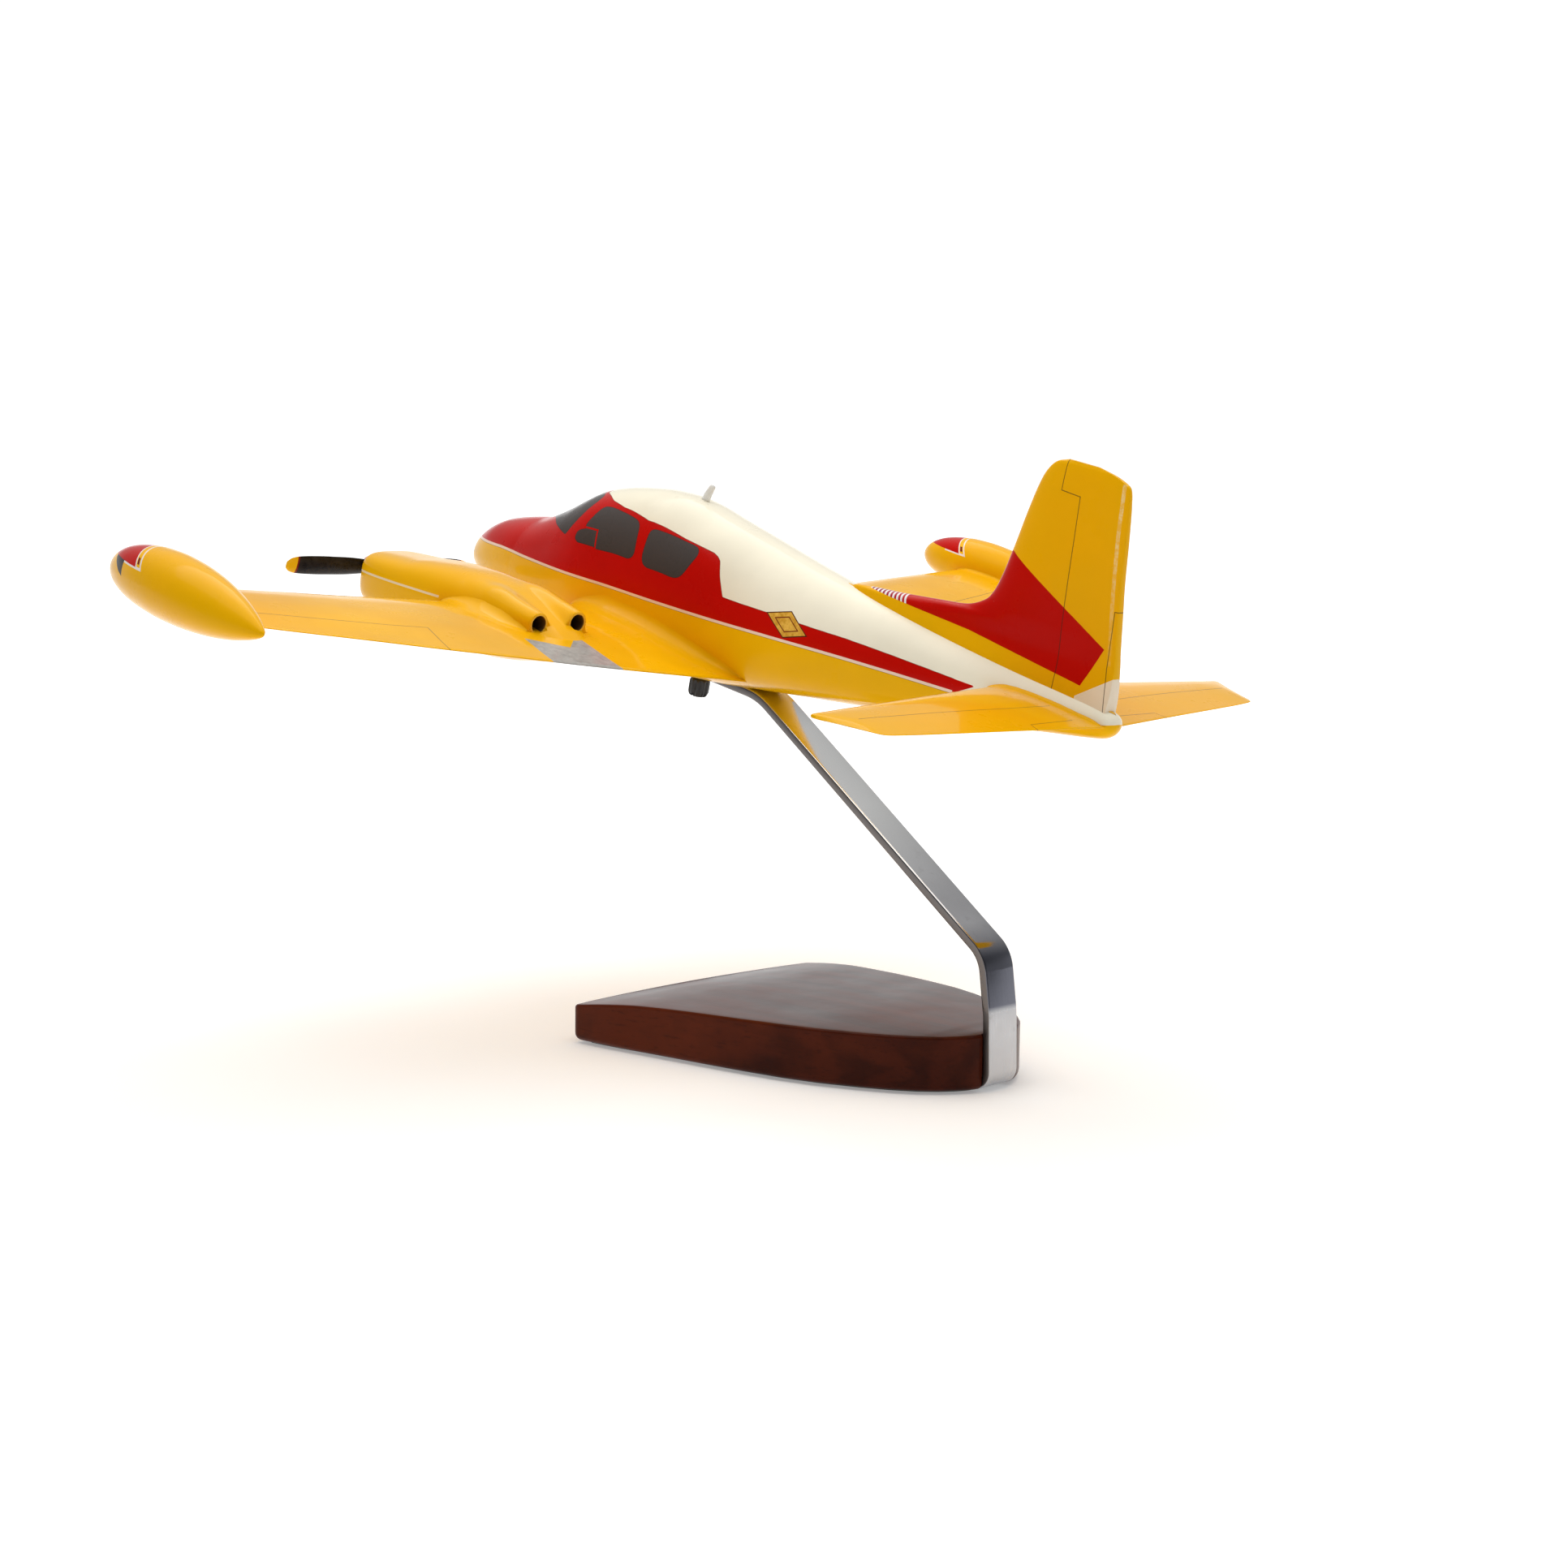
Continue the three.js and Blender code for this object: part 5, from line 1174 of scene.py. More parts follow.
def arm_solid(name, off=0.0, edge=0.62, ends=0.5):
    P, N = bent_path(ARM_LINE)
    hw, t0, t1 = ARM_W / 2 + off, -off, ARM_T + off
    sec = []
    for cx, ct, a0 in ((hw - edge, t0 + edge, -90), (hw - edge, t1 - edge, 0), (-hw + edge, t1 - edge, 90), (-hw + edge, t0 + edge, 180)):
        for a in np.linspace(a0, a0 + 90, 6):
            sec.append([cx + edge * math.cos(math.radians(a)), ct + edge * math.sin(math.radians(a))])
    sec = np.array(sec)
    flat = np.repeat(sec, 1, 0)
    rings = []
    n = len(P)
    for i in range(n):
        rings.append(np.stack([flat[:, 0], P[i, 0] + N[i, 0] * flat[:, 1], P[i, 1] + N[i, 1] * flat[:, 1]], 1))
    rings = np.array(rings)
    if ends:
        for end, nxt in ((0, 1), (-1, -2)):
            d = rings[end] - rings[nxt]
            d = d.mean(0); d /= np.linalg.norm(d)
            c = rings[end].mean(0)
            caps = []
            for a in (30, 60, 88):
                s = math.sin(math.radians(a)); co = math.cos(math.radians(a))
                ring = rings[end].copy()
                u = ring - c
                L = np.linalg.norm(u, axis=1, keepdims=True)
                caps.append(c + u * (1 - ends * (1 - co) / np.maximum(L, ends)) + d * ends * s - d * ends)
            base = rings[end] - d * ends
            if end == 0:
                rings = np.concatenate([np.array(caps[::-1]), base[None], rings[1:]])
            else:
                rings = np.concatenate([rings[:-1], base[None], np.array(caps)])
    return grid(name, rings / 1000.0, sharp=50)


arm = arm_solid("bent_steel_arm")
row_cyl = lambda y, r0, r1, z0, z1, name="tool", seg=48: grid(name, np.array([
    np.stack([r * np.cos(np.arange(seg) / seg * 2 * math.pi), y + r * np.sin(np.arange(seg) / seg * 2 * math.pi), np.full(seg, z)], 1)
    for r, z in ((r0, z0), (r1, z1))]) / 1000.0)
SCREW_V = -6.0
hole_ = lathe([[0.02, -45], [2.3, -45], [2.3, -12], [0.02, -12]], 48, (0, SCREW_V, 0), axis=(0, 0, 1), name="tool")
sinks = []
for y in (46, 60):
    sinks.append(row_cyl(y, 1.8, 1.8, FOOT_Z - 1, FOOT_Z + 8))
    sinks.append(row_cyl(y, 4.6, 1.7, FOOT_Z - 0.6, FOOT_Z + 2.3))
subtract(arm, hole_, *sinks)
arm.data.set_sharp_from_angle(angle=math.radians(50))

m = Mat("polished_steel")
uv = m.node("ShaderNodeSeparateXYZ"); m.link(m.obj(), uv.inputs[0])
ox, oy, oz = uv.outputs
grain = m.node("ShaderNodeMapping"); m.link(m.obj(), grain.inputs["Vector"])
grain.inputs["Scale"].default_value = (2600, 60, 60)
lines_ = m.noise(1.0, 3, 0.6, vec=grain.outputs[0])
cloud = m.noise(28, 4, 0.6)
spots = m.noise(210, 3, 0.6)
col = m.mix(m.rng(cloud, 0.3, 0.7, 0, 1), (0.56, 0.56, 0.575), (0.47, 0.465, 0.475))
col = m.mix(m.math("MULTIPLY", m.rng(spots, 0.62, 0.72, 0, 1), 0.25), col, (0.34, 0.33, 0.33))
gn = m.node("ShaderNodeNewGeometry")
gs = m.node("ShaderNodeSeparateXYZ"); m.link(gn.outputs["Normal"], gs.inputs[0])
edge_face = m.rng(m.math("ABSOLUTE", gs.outputs[0]), 0.90, 0.99, 0.0, 1.0)  # painted reflection: the narrow faces are made darker
# painted reflection: the bar is lighter between about 70 and 135 mm up
col = m.mix(m.both(m.rng(oz, 0.066, 0.095, 0.0, 1.0), m.rng(oz, 0.120, 0.138, 1.0, 0.0)), col, (0.84, 0.84, 0.83))
shade = m.both(m.rng(oz, 0.0285, 0.0305, 0.0, 1.0), m.rng(oz, 0.048, 0.058, 1.0, 0.0))
col = m.mix(m.math("MULTIPLY", shade, 0.86), col, (0.10, 0.105, 0.14))  # painted reflection: a darker, bluish band below the bend
col = m.mix(edge_face, col, (0.16, 0.145, 0.14))
m.link(col, m.p.inputs["Base Color"])
m.p.inputs["Metallic"].default_value = 1.0
low = m.rng(oz, 0.0280, 0.0305, 0.20, 0.0)
r_ = m.math("ADD", m.rng(cloud, 0.3, 0.7, 0.07, 0.13), low)
m.link(m.math("ADD", r_, m.rng(lines_, 0.3, 0.7, -0.03, 0.05)), m.p.inputs["Roughness"])
hb = m.math("MULTIPLY_ADD", cloud, 2.0, lines_)
m.link(m.bump(hb, 0.06, 0.00012), m.p.inputs["Normal"])
steel_mat = m.m
arm.data.materials.clear(); arm.data.materials.append(steel_mat)
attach(arm, ROOT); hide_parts("display_arm")


# ------------------------------------------------------------------ base block
BASE = np.array([
    [-78.6, 20, 14.6], [-78.2, 36, 14.6], [-77.3, 54, 14.6], [-76.2, 62.0, 14.6], [-74.2, 63.4, 14.9],
    [-70, 63.0, 15.5], [-64, 62.4, 16.4], [-56, 61.4, 17.4], [-45, 59.6, 18.5], [-30, 57.3, 19.3], [-14, 55.0, 19.9],
    [2, 52.4, 20.3], [18, 49.2, 20.6], [32, 45.0, 20.7], [46, 39.0, 20.7], [57, 33.2, 20.7],
    [65, 27.6, 20.7], [71, 21.8, 20.6], [74.8, 16.4, 20.6], [77.0, 12.4, 20.5], [78.1, 9.0, 20.4],
])
BASE_LOW = 1.05
# the outline of one side, from the middle of the front edge round to the middle of the rear edge
key_ = np.array([[0, -78.7]] + [[hw, y] for y, hw, _ in BASE] + [[4.5, 78.2], [0, 78.2]], float)
L_ = np.concatenate([[0], np.cumsum(np.hypot(*np.diff(key_, axis=0).T))])
fine_ = np.linspace(0, L_[-1], 2400)
ln = np.stack([np.interp(fine_, L_, key_[:, 0]), np.interp(fine_, L_, key_[:, 1])], 1)
full = np.concatenate([ln, (ln[::-1] * [-1, 1])[1:-1]])
for _ in range(260):  # rounds the plan corners to a few millimetres
    full = 0.25 * np.roll(full, 1, 0) + 0.5 * full + 0.25 * np.roll(full, -1, 0)
ln = full[:2400]
ln[0, 0] = ln[-1, 0] = 0.0
# stations along it, closer together round the corners
tan_ = np.gradient(ln, axis=0)
ang_ = np.unwrap(np.arctan2(tan_[:, 1], tan_[:, 0]))
s_ = np.concatenate([[0], np.cumsum(np.hypot(*np.diff(ln, axis=0).T))])
weight = np.abs(np.gradient(ang_, s_)) * 14 + 1.0
cum = np.concatenate([[0], np.cumsum(0.5 * (weight[1:] + weight[:-1]) * np.diff(s_))])
NO = 220
pick = np.interp(np.linspace(0, cum[-1], NO), cum, np.arange(2400))
O = np.stack([np.interp(pick, np.arange(2400), ln[:, 0]), np.interp(pick, np.arange(2400), ln[:, 1])], 1)
On = np.stack([np.interp(pick, np.arange(2400), np.gradient(ln[:, 1])), -np.interp(pick, np.arange(2400), np.gradient(ln[:, 0]))], 1)
On /= np.hypot(On[:, 0], On[:, 1])[:, None]  # outward
O[0, 0] = O[-1, 0] = 0.0
On[0], On[-1] = (0.0, -1.0), (0.0, 1.0)


def top_at(x, y):
    hw = np.maximum(np.interp(y, BASE[:, 0], BASE[:, 1]), 8)
    t = pchip(BASE[:, 0], BASE[:, 2], np.clip(y, -78.6, 78.1))
    return t + 0.55 * (1 - np.clip(np.abs(x) / hw, 0, 1) ** 2)


R_TOP = 1.0
prof_ = [(R_TOP * (1 - math.cos(a)), -R_TOP * (1 - math.sin(a))) for a in np.radians(np.linspace(90, 0, 9))]  # inset, drop
prof_ = [(R_TOP - R_TOP * math.cos(math.radians(a)), -R_TOP + R_TOP * math.sin(math.radians(a))) for a in np.linspace(90, 0, 9)]
NF = 41
columns = []
for i in range(NO):
    (x, y), (nx, ny) = O[i], On[i]
    b = 2.3 + 0.7 * min(1, max(0, (-44 - y) / 24))
    rail = []
    tz = float(top_at(np.array([x]), np.array([y]))[0])
    for e, dz in prof_:
        px, py = x - nx * e, y - ny * e
        rail.append([px, py, (float(top_at(np.array([px]), np.array([py]))[0]) if e > R_TOP * 0.6 else tz) + dz])
    zt = rail[-1][2]
    for f in np.linspace(0, 1, 8)[1:-1]:
        rail.append([x, y, zt + (BASE_LOW + b - zt) * f])
    for a in np.linspace(0, 90, 7):
        e = b * (1 - math.cos(math.radians(a)))
        rail.append([x - nx * e, y - ny * e, BASE_LOW + b - b * math.sin(math.radians(a))])
    columns.append(rail)
C_ = np.array(columns)  # NO x K x 3
K = C_.shape[1]
port_c, star_c = C_, C_ * [-1, 1, 1]
loop_rows = []
for i in range(NO):
    a = port_c[i, 0]
    fr = np.linspace(1, -1, NF)[1:-1]
    xs = a[0] * fr
    zs = top_at(xs, np.full(NF - 2, a[1]))
    edge_z = a[2] - float(top_at(np.array([a[0]]), np.array([a[1]]))[0])
    top_fill = np.stack([xs, np.full(NF - 2, a[1]), zs + edge_z], 1)
    c = port_c[i, -1]
    xb = c[0] * np.linspace(-1, 1, NF)[1:-1]
    bot_fill = np.stack([xb, np.full(NF - 2, c[1]), np.full(NF - 2, c[2])], 1)
    loop_rows.append(np.concatenate([port_c[i, ::-1], top_fill, star_c[i], bot_fill]))
base = grid("base_slab", np.array(loop_rows) / 1000.0, sharp=55)
wd = base.modifiers.new("weld", "WELD"); wd.merge_threshold = 0.00002
apply_all(base)
bm = bmesh.new()  # the two halves meet along the middle of the front and back faces, with nothing left between them
bm.from_mesh(base.data)
bmesh.ops.delete(bm, geom=[f for f in bm.faces if all(abs(v.co.x) < 1e-5 for v in f.verts)], context="FACES")
bm.to_mesh(base.data)
bm.free()
slot_ = arm_solid("tool", off=0.3, edge=0.35, ends=0)


def row_box(x0, x1, y0, y1, z0, z1):
    P = np.array([[[x, y, z] for x, z in ((x0, z0), (x1, z0), (x1, z1), (x0, z1))] for y in (y0, y1)], float)
    return grid("tool", P / 1000.0)


trough = row_box(-ARM_W / 2 - 0.3, ARM_W / 2 + 0.3, 37.7, 90, -1, FOOT_Z + ARM_T + 0.3)
subtract(base, slot_, trough)
base.data.polygons.foreach_set("use_smooth", np.ones(len(base.data.polygons), bool))
base.data.set_sharp_from_angle(angle=math.radians(35))

m = Mat("mahogany")
ws = m.node("ShaderNodeMapping"); m.link(m.obj(), ws.inputs["Vector"])
ws.inputs["Rotation"].default_value = (0.0, 0.06, 0.10)
ws.inputs["Scale"].default_value = (1.0, 0.09, 1.6)
warp = m.noise(26, 3, 0.55, vec=ws.outputs[0], dist=0.6)
fig = m.node("ShaderNodeTexWave", wave_type="BANDS", bands_direction="X", wave_profile="SIN")
m.link(ws.outputs[0], fig.inputs["Vector"])
fig.inputs["Scale"].default_value = 24
fig.inputs["Distortion"].default_value = 7.5
fig.inputs["Detail"].default_value = 4
fig.inputs["Detail Scale"].default_value = 1.4
fig.inputs["Detail Roughness"].default_value = 0.62
pores = m.node("ShaderNodeMapping"); m.link(m.obj(), pores.inputs["Vector"])
pores.inputs["Scale"].default_value = (900, 45, 900)
pore = m.noise(1.0, 3, 0.65, vec=pores.outputs[0])
blotch = m.noise(22, 4, 0.6)
dark, midc, lit = (0.032, 0.0042, 0.0014), (0.052, 0.0072, 0.0022), (0.125, 0.020, 0.005)
col = m.mix(m.rng(fig.outputs["Fac"], 0.2, 0.85, 0, 1), dark, midc)
col = m.mix(m.rng(m.math("MULTIPLY", warp, blotch), 0.20, 0.42, 0, 0.75), col, lit)
col = m.mix(m.math("MULTIPLY", m.rng(pore, 0.56, 0.68, 0, 1), 0.3), col, (0.014, 0.003, 0.002))
m.link(col, m.p.inputs["Base Color"])
m.link(m.rng(blotch, 0.3, 0.7, 0.30, 0.44), m.p.inputs["Roughness"])
m.p.inputs["Specular IOR Level"].default_value = 0.2
m.p.inputs["IOR"].default_value = 1.3
m.p.inputs["Specular Tint"].default_value = (1.0, 0.76, 0.68, 1.0)
rub = m.node("ShaderNodeLayerWeight")
rub.inputs["Blend"].default_value = 0.5
m.link(m.rng(rub.outputs["Facing"], 0.40, 0.86, 0.05, 0.29), m.p.inputs["Coat Weight"])
m.p.inputs["Coat Roughness"].default_value = 0.12
m.link(m.bump(m.math("MULTIPLY_ADD", pore, 0.9, m.math("MULTIPLY", fig.outputs["Fac"], 0.25)), 0.16, 0.00015), m.p.inputs["Normal"])
m.link(m.bump(m.math("MULTIPLY_ADD", pore, 0.10, m.noise(60, 2, 0.5)), 0.08, 0.0005), m.p.inputs["Coat Normal"])
base.data.materials.clear(); base.data.materials.append(m.m)
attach(base, ROOT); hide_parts("base_block")

# ------------------------------------------------------------------ felt under the base
fo, fn = O.copy(), On.copy()
rings = []
inner = fo - fn * 5.0
clear = np.array([np.hypot(fo[:, 0] - p[0], fo[:, 1] - p[1]).min() for p in inner]) > 4.93  # drops the folds at the corners
clear &= inner[:, 0] > -1e-6
fo, fn = fo[clear], fn[clear]
inset = lambda e: fo - fn * e
lim = lambda P: np.stack([np.maximum(P[:, 0], 0.0), np.clip(P[:, 1], -73.0, 73.4)], 1)
for e, z in ((5.3, 0.0), (5.02, 0.12), (5.0, 0.5), (5.02, 0.88), (5.3, 1.0)):
    P = lim(inset(e))
    loop = np.concatenate([P, (P[::-1] * [-1, 1])[1:-1]])
    rings.append(np.column_stack([loop, np.full(len(loop), z)]))
felt = grid("felt_sheet", np.array(rings) / 1000.0, sharp=60)
m = Mat("felt")
f1 = m.noise(1500, 3, 0.7); f2 = m.noise(160, 4, 0.65)
col = m.mix(m.rng(f2, 0.3, 0.7, 0, 1), (0.010, 0.032, 0.016), (0.018, 0.055, 0.028))
col = m.mix(m.rng(f1, 0.55, 0.75, 0, 0.5), col, (0.05, 0.10, 0.06))
m.link(col, m.p.inputs["Base Color"])
m.link(m.rng(f1, 0.3, 0.7, 0.88, 1.0), m.p.inputs["Roughness"])
m.p.inputs["Sheen Weight"].default_value = 0.5
m.p.inputs["Sheen Roughness"].default_value = 0.5
m.p.inputs["Specular IOR Level"].default_value = 0.15
m.link(m.bump(m.math("ADD", f1, f2), 0.5, 0.0004), m.p.inputs["Normal"])
felt.data.materials.append(m.m)
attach(felt, ROOT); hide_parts("felt_pad")


# ------------------------------------------------------------------ metals and woods for the small and inner pieces
def metal(name, c0, c1, rough, streak=(400, 400, 400), bump=0.12):
    m = Mat(name)
    cl = m.noise(220, 4, 0.6)
    mp = m.node("ShaderNodeMapping"); m.link(m.obj(), mp.inputs["Vector"])
    mp.inputs["Scale"].default_value = streak
    ln_ = m.noise(1.0, 3, 0.6, vec=mp.outputs[0])
    m.link(m.mix(m.rng(cl, 0.3, 0.7, 0, 1), c0, c1), m.p.inputs["Base Color"])
    m.p.inputs["Metallic"].default_value = 1.0
    m.link(m.math("ADD", m.rng(cl, 0.3, 0.7, rough[0], rough[1]), m.rng(ln_, 0.3, 0.7, -0.04, 0.06)), m.p.inputs["Roughness"])
    m.link(m.bump(ln_, bump, 0.0001), m.p.inputs["Normal"])
    return m.m


brass_mat = metal("brass_turned", (0.66, 0.44, 0.16), (0.50, 0.31, 0.10), (0.20, 0.34), (1500, 1500, 120))
plain_steel = metal("plain_steel", (0.56, 0.56, 0.57), (0.42, 0.42, 0.43), (0.22, 0.36), (1500, 1500, 120))

m = Mat("birch_dowel")
mp = m.node("ShaderNodeMapping"); m.link(m.obj(), mp.inputs["Vector"])
mp.inputs["Scale"].default_value = (120, 900, 900)
g1 = m.noise(1.0, 4, 0.6, vec=mp.outputs[0]); g2 = m.noise(160, 3, 0.6)
m.link(m.mix(m.rng(g1, 0.3, 0.7, 0, 1), (0.60, 0.42, 0.22), (0.42, 0.27, 0.13)), m.p.inputs["Base Color"])
m.link(m.rng(g2, 0.3, 0.7, 0.6, 0.8), m.p.inputs["Roughness"])
m.link(m.bump(g1, 0.25, 0.0002), m.p.inputs["Normal"])
dowel_mat = m.m

m = Mat("black_knob_plastic")
k1 = m.noise(900, 3, 0.6); k2 = m.noise(150, 4, 0.6)
m.link(m.mix(m.rng(k2, 0.35, 0.7, 0, 1), (0.010, 0.010, 0.011), (0.026, 0.025, 0.025)), m.p.inputs["Base Color"])
m.link(m.rng(k1, 0.3, 0.7, 0.30, 0.46), m.p.inputs["Roughness"])
m.link(m.bump(k1, 0.15, 0.0001), m.p.inputs["Normal"])
knob_mat = m.m

for node, mat in [(n, dowel_mat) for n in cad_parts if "dowel" in n] + [("threaded_insert", brass_mat)] + \
        [(f"{s}_prop_shaft", plain_steel) for s in ("port", "starboard")] + [(f"{s}_prop_washer", plain_steel) for s in ("port", "starboard")]:
    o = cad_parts[node]
    o.data.materials.clear()
    o.data.materials.append(mat)

# foot screws: countersunk heads with a slot
for tag, y in (("front", 46), ("rear", 60)):
    rows = [[0.02, 0.0], [2.9, 0.0], [3.2, 0.08], [3.3, 0.25], [1.55, 1.95], [1.5, 2.1]]
    z = 3.0
    while z < 12.8:  # threads
        rows += [[1.5, z], [1.28, z + 0.35], [1.28, z + 0.5], [1.5, z + 0.85]]
        z += 1.1
    rows += [[1.2, 13.4], [0.4, 14.8], [0.02, 14.8]]
    seg_ = 48
    th = np.arange(seg_) / seg_ * 2 * math.pi
    G = np.array([np.stack([r * np.cos(th), y + r * np.sin(th), np.full(seg_, FOOT_Z + 0.05 + h)], 1) for r, h in rows])
    s = grid(f"foot_screw_{tag}", G / 1000.0, sharp=35)
    subtract(s, row_box(-4, 4, y - 0.4, y + 0.4, FOOT_Z - 1, FOOT_Z + 0.85))
    s.data.set_sharp_from_angle(angle=math.radians(35))
    s.data.materials.clear(); s.data.materials.append(brass_mat)
    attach(s, ROOT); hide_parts(f"arm_foot_screw_{tag}")

# thumbscrew: fluted knob, plain washer and threaded stud, in the airplane frame about the w axis
KNOB_TOP = LEG_LOW - 0.15 - 0.9 - 0.1


def upright(rows, seg_, name, sharp=40, modulate=None, phase=0.0):
    th = np.arange(seg_) / seg_ * 2 * math.pi + phase
    G = []
    for r, h in rows:
        rr = np.full(seg_, r, float)
        if modulate is not None:
            rr = modulate(rr, th, h)
        G.append(np.stack([rr * np.cos(th), SCREW_V + rr * np.sin(th), np.full(seg_, h)], 1))
    return grid(name, to_row(np.array(G)), sharp=sharp)


def flute(rr, th, h):
    d = KNOB_TOP - h
    depth = 0.62 * np.clip((d - 1.7) / 0.7, 0, 1)
    return rr - depth * np.clip((rr - 3.0) / 0.6, 0, 1) * (0.5 - 0.5 * np.cos(10 * th)) ** 1.7


rows = [[0.02, -8.4], [2.6, -8.4]] + [[2.8 + 0.9 * math.sin(math.radians(a)), -7.5 - 0.9 * math.cos(math.radians(a))] for a in (15, 30, 50, 70)] \
    + [[3.9, -7.2], [4.05, -6.6], [4.08, -5.2], [4.08, -3.8], [4.05, -2.4], [3.95, -2.0], [3.7, -1.65], [3.35, -1.35], [3.0, -1.15], [2.9, -1.0], [2.9, -0.15], [2.8, 0.0], [0.02, 0.0]]
rows = [[r, KNOB_TOP + h] for r, h in rows]
knob = upright(rows, 160, "fluted_knob", 45, flute)
bore = upright([[0.02, KNOB_TOP - 6.25], [2.05, KNOB_TOP - 6.25], [2.05, KNOB_TOP + 2], [0.02, KNOB_TOP + 2]], 48, "tool")
P = np.array([[[x, v, w] for x, w in ((-6, KNOB_TOP - 9.5), (6, KNOB_TOP - 9.5), (6, KNOB_TOP - 7.3), (-6, KNOB_TOP - 7.3))] for v in (SCREW_V - 0.6, SCREW_V + 0.6)], float)
subtract(knob, bore, grid("tool", to_row(P)))
knob.data.set_sharp_from_angle(angle=math.radians(45))
knob.data.materials.clear(); knob.data.materials.append(knob_mat)
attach(knob, "thumbscrew"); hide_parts("thumbscrew_knob")

rows = [[0.02, KNOB_TOP - 6.2], [2.0, KNOB_TOP - 6.2], [2.0, KNOB_TOP + 0.4]]
z = KNOB_TOP + 0.4
while z < -15.3:
    rows += [[2.0, z + 0.10], [1.76, z + 0.32], [1.76, z + 0.38], [2.0, z + 0.60]]
    z += 0.7
rows += [[2.0, -14.9], [1.5, -14.3], [0.02, -14.3]]
stud = upright(rows, 48, "threaded_stud", 30)
stud.data.materials.append(plain_steel)
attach(stud, "thumbscrew"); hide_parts("thumbscrew_stud")

w0, w1 = LEG_LOW - 0.15 - 0.9, LEG_LOW - 0.15
rows = [[2.08, w0 + 0.05], [2.2, w0], [3.85, w0], [4.0, w0 + 0.15], [4.0, w1 - 0.15], [3.85, w1], [2.2, w1], [2.08, w1 - 0.05]]
th = np.arange(72) / 72 * 2 * math.pi
wash = torus_grid("flat_washer", [np.stack([r * np.cos(th), SCREW_V + r * np.sin(th), np.full(72, h)], 1) for r, h in rows], 35)
wash.data.materials.append(plain_steel)
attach(wash, "screw_washer"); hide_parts("thumbscrew_washer")


# ------------------------------------------------------------------ floor, light and camera
bpy.ops.mesh.primitive_circle_add(vertices=96, radius=40, fill_type="NGON", location=(0, 0, 0))
floor = bpy.context.object
floor.name = "floor"
m = Mat("studio_floor")
fn_ = m.noise(3.0, 3, 0.5)
m.link(m.mix(m.rng(fn_, 0.3, 0.7, 0, 1), (0.84, 0.84, 0.84), (0.81, 0.81, 0.81)), m.p.inputs["Base Color"])
m.p.inputs["Roughness"].default_value = 0.85
m.p.inputs["Specular IOR Level"].default_value = 0.05
away = m.node("ShaderNodeSeparateXYZ")
m.link(m.obj(), away.inputs[0])
m.p.inputs["Emission Color"].default_value = (1, 1, 1, 1)
# painted light: the floor glows, more strongly towards the back
back_ = m.math("MULTIPLY", m.math("ADD", away.outputs[0], away.outputs[1]), -0.7071)
m.link(m.rng(back_, -0.1, 1.6, 0.26, 0.92), m.p.inputs["Emission Strength"])
floor.data.materials.append(m.m)

world = bpy.data.worlds.new("studio")
bpy.context.scene.world = world
world.use_nodes = True
wt = world.node_tree
bg = wt.nodes["Background"]


def wmath(op, a, b=0.0, c=0.0):
    n = wt.nodes.new("ShaderNodeMath")
    n.operation = op
    for i, x in enumerate((a, b, c)):
        if isinstance(x, (int, float)):
            n.inputs[i].default_value = x
        else:
            wt.links.new(x, n.inputs[i])
    return n.outputs[0]


def wrng(v, a, b, c, d):
    n = wt.nodes.new("ShaderNodeMapRange")
    n.interpolation_type = "SMOOTHSTEP"
    wt.links.new(v, n.inputs["Value"])
    for k, x in zip(("From Min", "From Max", "To Min", "To Max"), (a, b, c, d)):
        n.inputs[k].default_value = x
    return n.outputs["Result"]


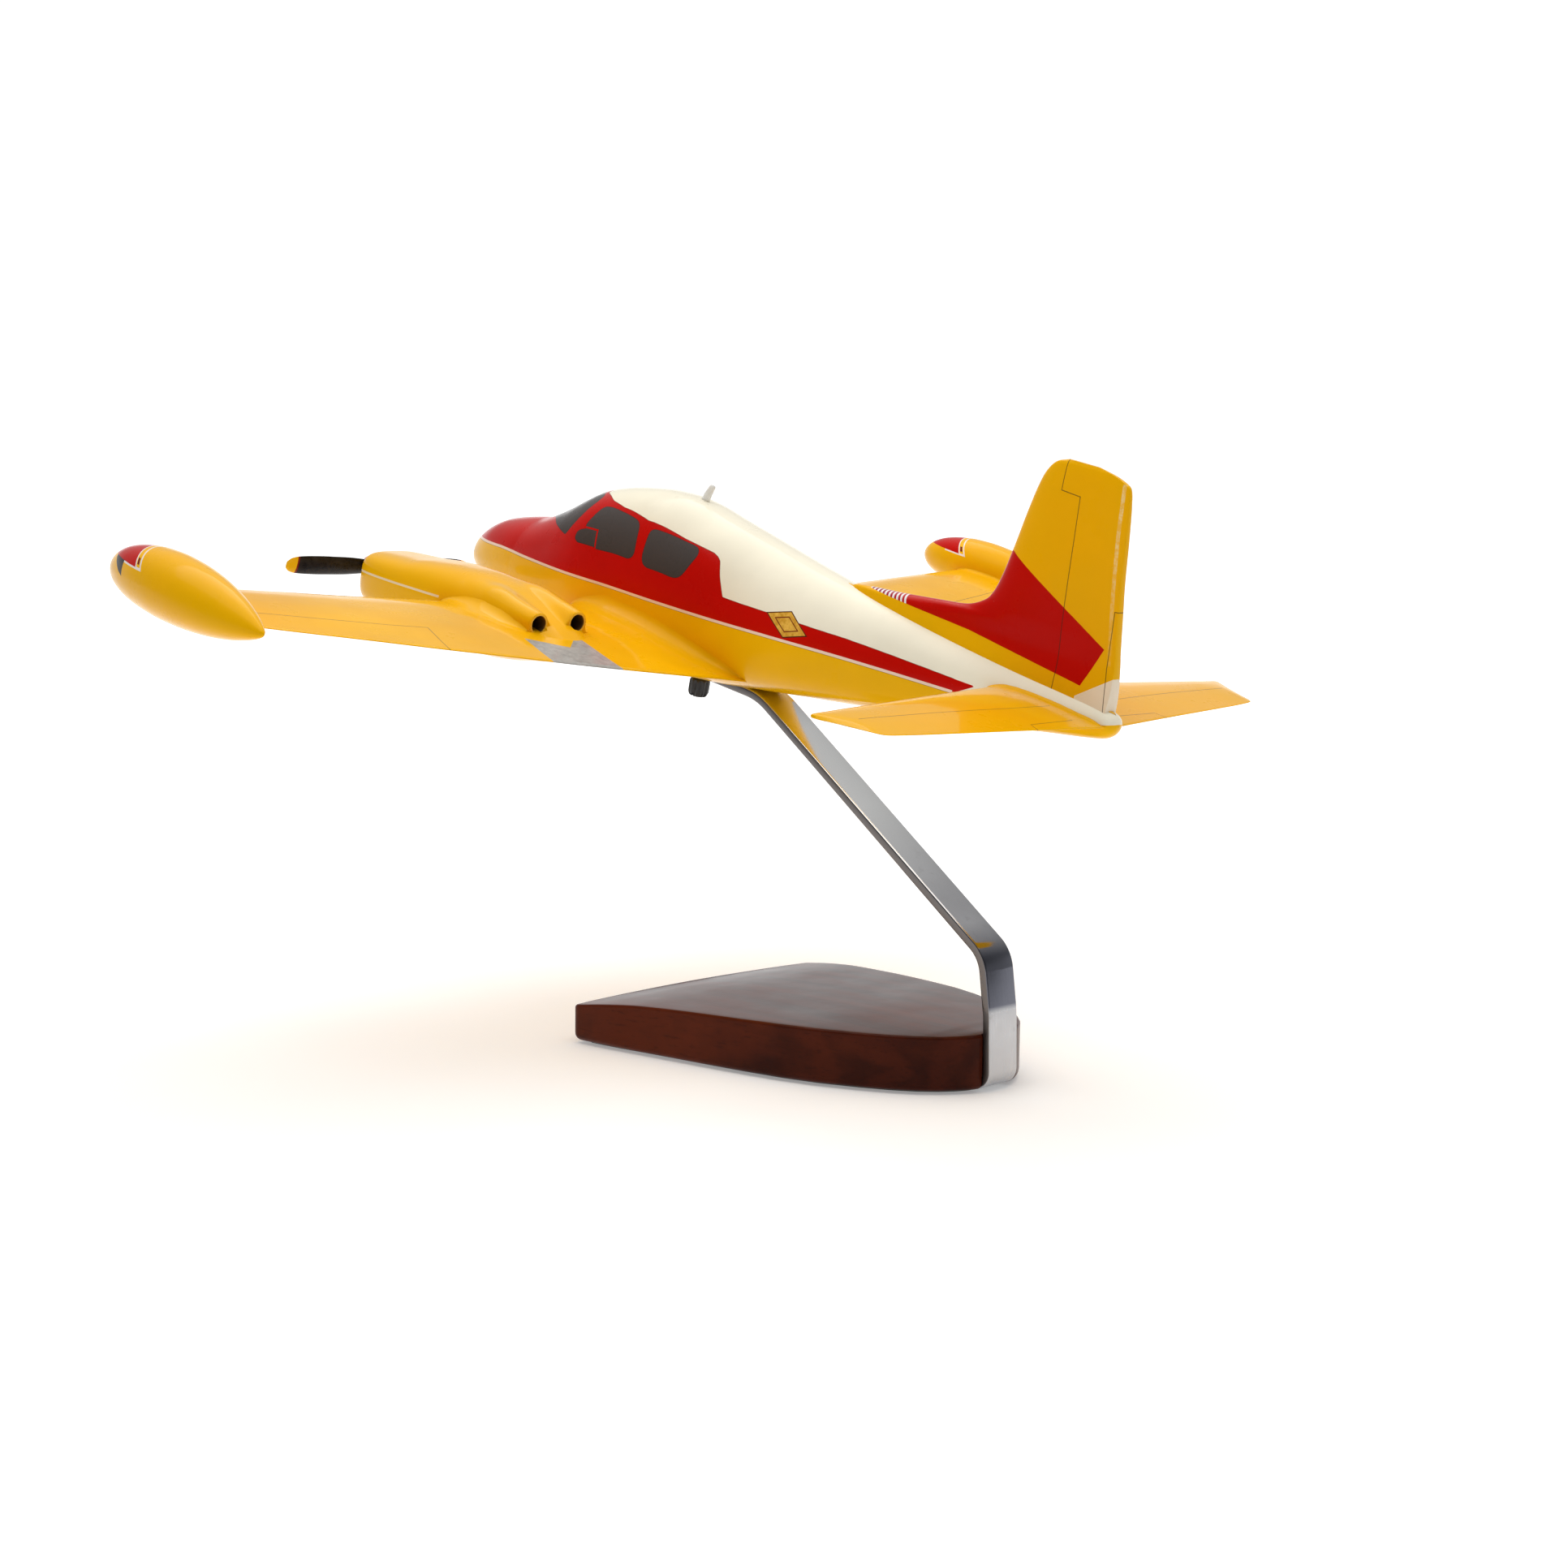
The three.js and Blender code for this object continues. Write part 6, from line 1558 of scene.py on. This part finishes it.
tc = wt.nodes.new("ShaderNodeTexCoord")
sx_ = wt.nodes.new("ShaderNodeSeparateXYZ")
wt.links.new(tc.outputs["Generated"], sx_.inputs[0])
dx_, dy_, dz_ = sx_.outputs
far_ = wmath("MULTIPLY", wmath("ADD", dx_, dy_), -0.7071)   # towards the backdrop
right_ = wmath("MULTIPLY", wmath("SUBTRACT", dy_, dx_), 0.7071)
sky = wmath("ADD", wrng(far_, -0.3, 0.8, 0.13, 0.42), wrng(dz_, 0.35, 0.95, 0.0, 0.25))
sky = wmath("ADD", sky, wmath("MULTIPLY", wrng(right_, 0.2, 0.9, 0.0, 0.14), wrng(dz_, 0.1, 0.4, 1.0, 0.0)))
drop = wmath("MULTIPLY", wrng(far_, 0.1, 0.7, 0.0, 0.65), wrng(dz_, 0.20, 0.36, 1.0, 0.0))
sky = wmath("ADD", sky, drop)
bg.inputs["Color"].default_value = (1, 1, 1, 1)
wt.links.new(sky, bg.inputs["Strength"])


def area(name, loc, target, size, power, colour=(1, 1, 1), size_y=None):
    L = bpy.data.lights.new(name, "AREA")
    L.shape = "RECTANGLE"
    L.size = size
    L.size_y = size_y or size
    L.energy = power
    L.color = colour
    o = bpy.data.objects.new(name, L)
    bpy.context.scene.collection.objects.link(o)
    o.location = loc
    d = Vector(target) - Vector(loc)
    o.rotation_euler = d.to_track_quat("-Z", "Y").to_euler()
    return o


area("overhead", (0.02, -0.06, 1.35), (0.02, -0.06, 0.1), 1.75, 20, (1.0, 0.99, 0.97))

cam_d = bpy.data.cameras.new("camera")
cam = bpy.data.objects.new("camera", cam_d)
bpy.context.scene.collection.objects.link(cam)
az, el, roll = math.radians(135.01), math.radians(6.37), math.radians(0.77)
back = Vector((math.sin(az) * math.cos(el), -math.cos(az) * math.cos(el), math.sin(el)))
cx = Vector((0, 0, 1)).cross(back).normalized()
cy = back.cross(cx)
x2 = cx * math.cos(roll) + cy * math.sin(roll)
y2 = -cx * math.sin(roll) + cy * math.cos(roll)
M = Matrix.Identity(4)
for r in range(3):
    M[r][0], M[r][1], M[r][2] = x2[r], y2[r], back[r]
M[0][3], M[1][3], M[2][3] = 0.66944, 0.62347, 0.21120
cam.matrix_world = M
cam_d.sensor_width = 36
cam_d.lens = 57.23
cam_d.shift_x = 0.02145
cam_d.shift_y = -0.01507
cam_d.clip_start = 0.01
bpy.context.scene.camera = cam
bpy.context.scene.view_settings.view_transform = "Standard"
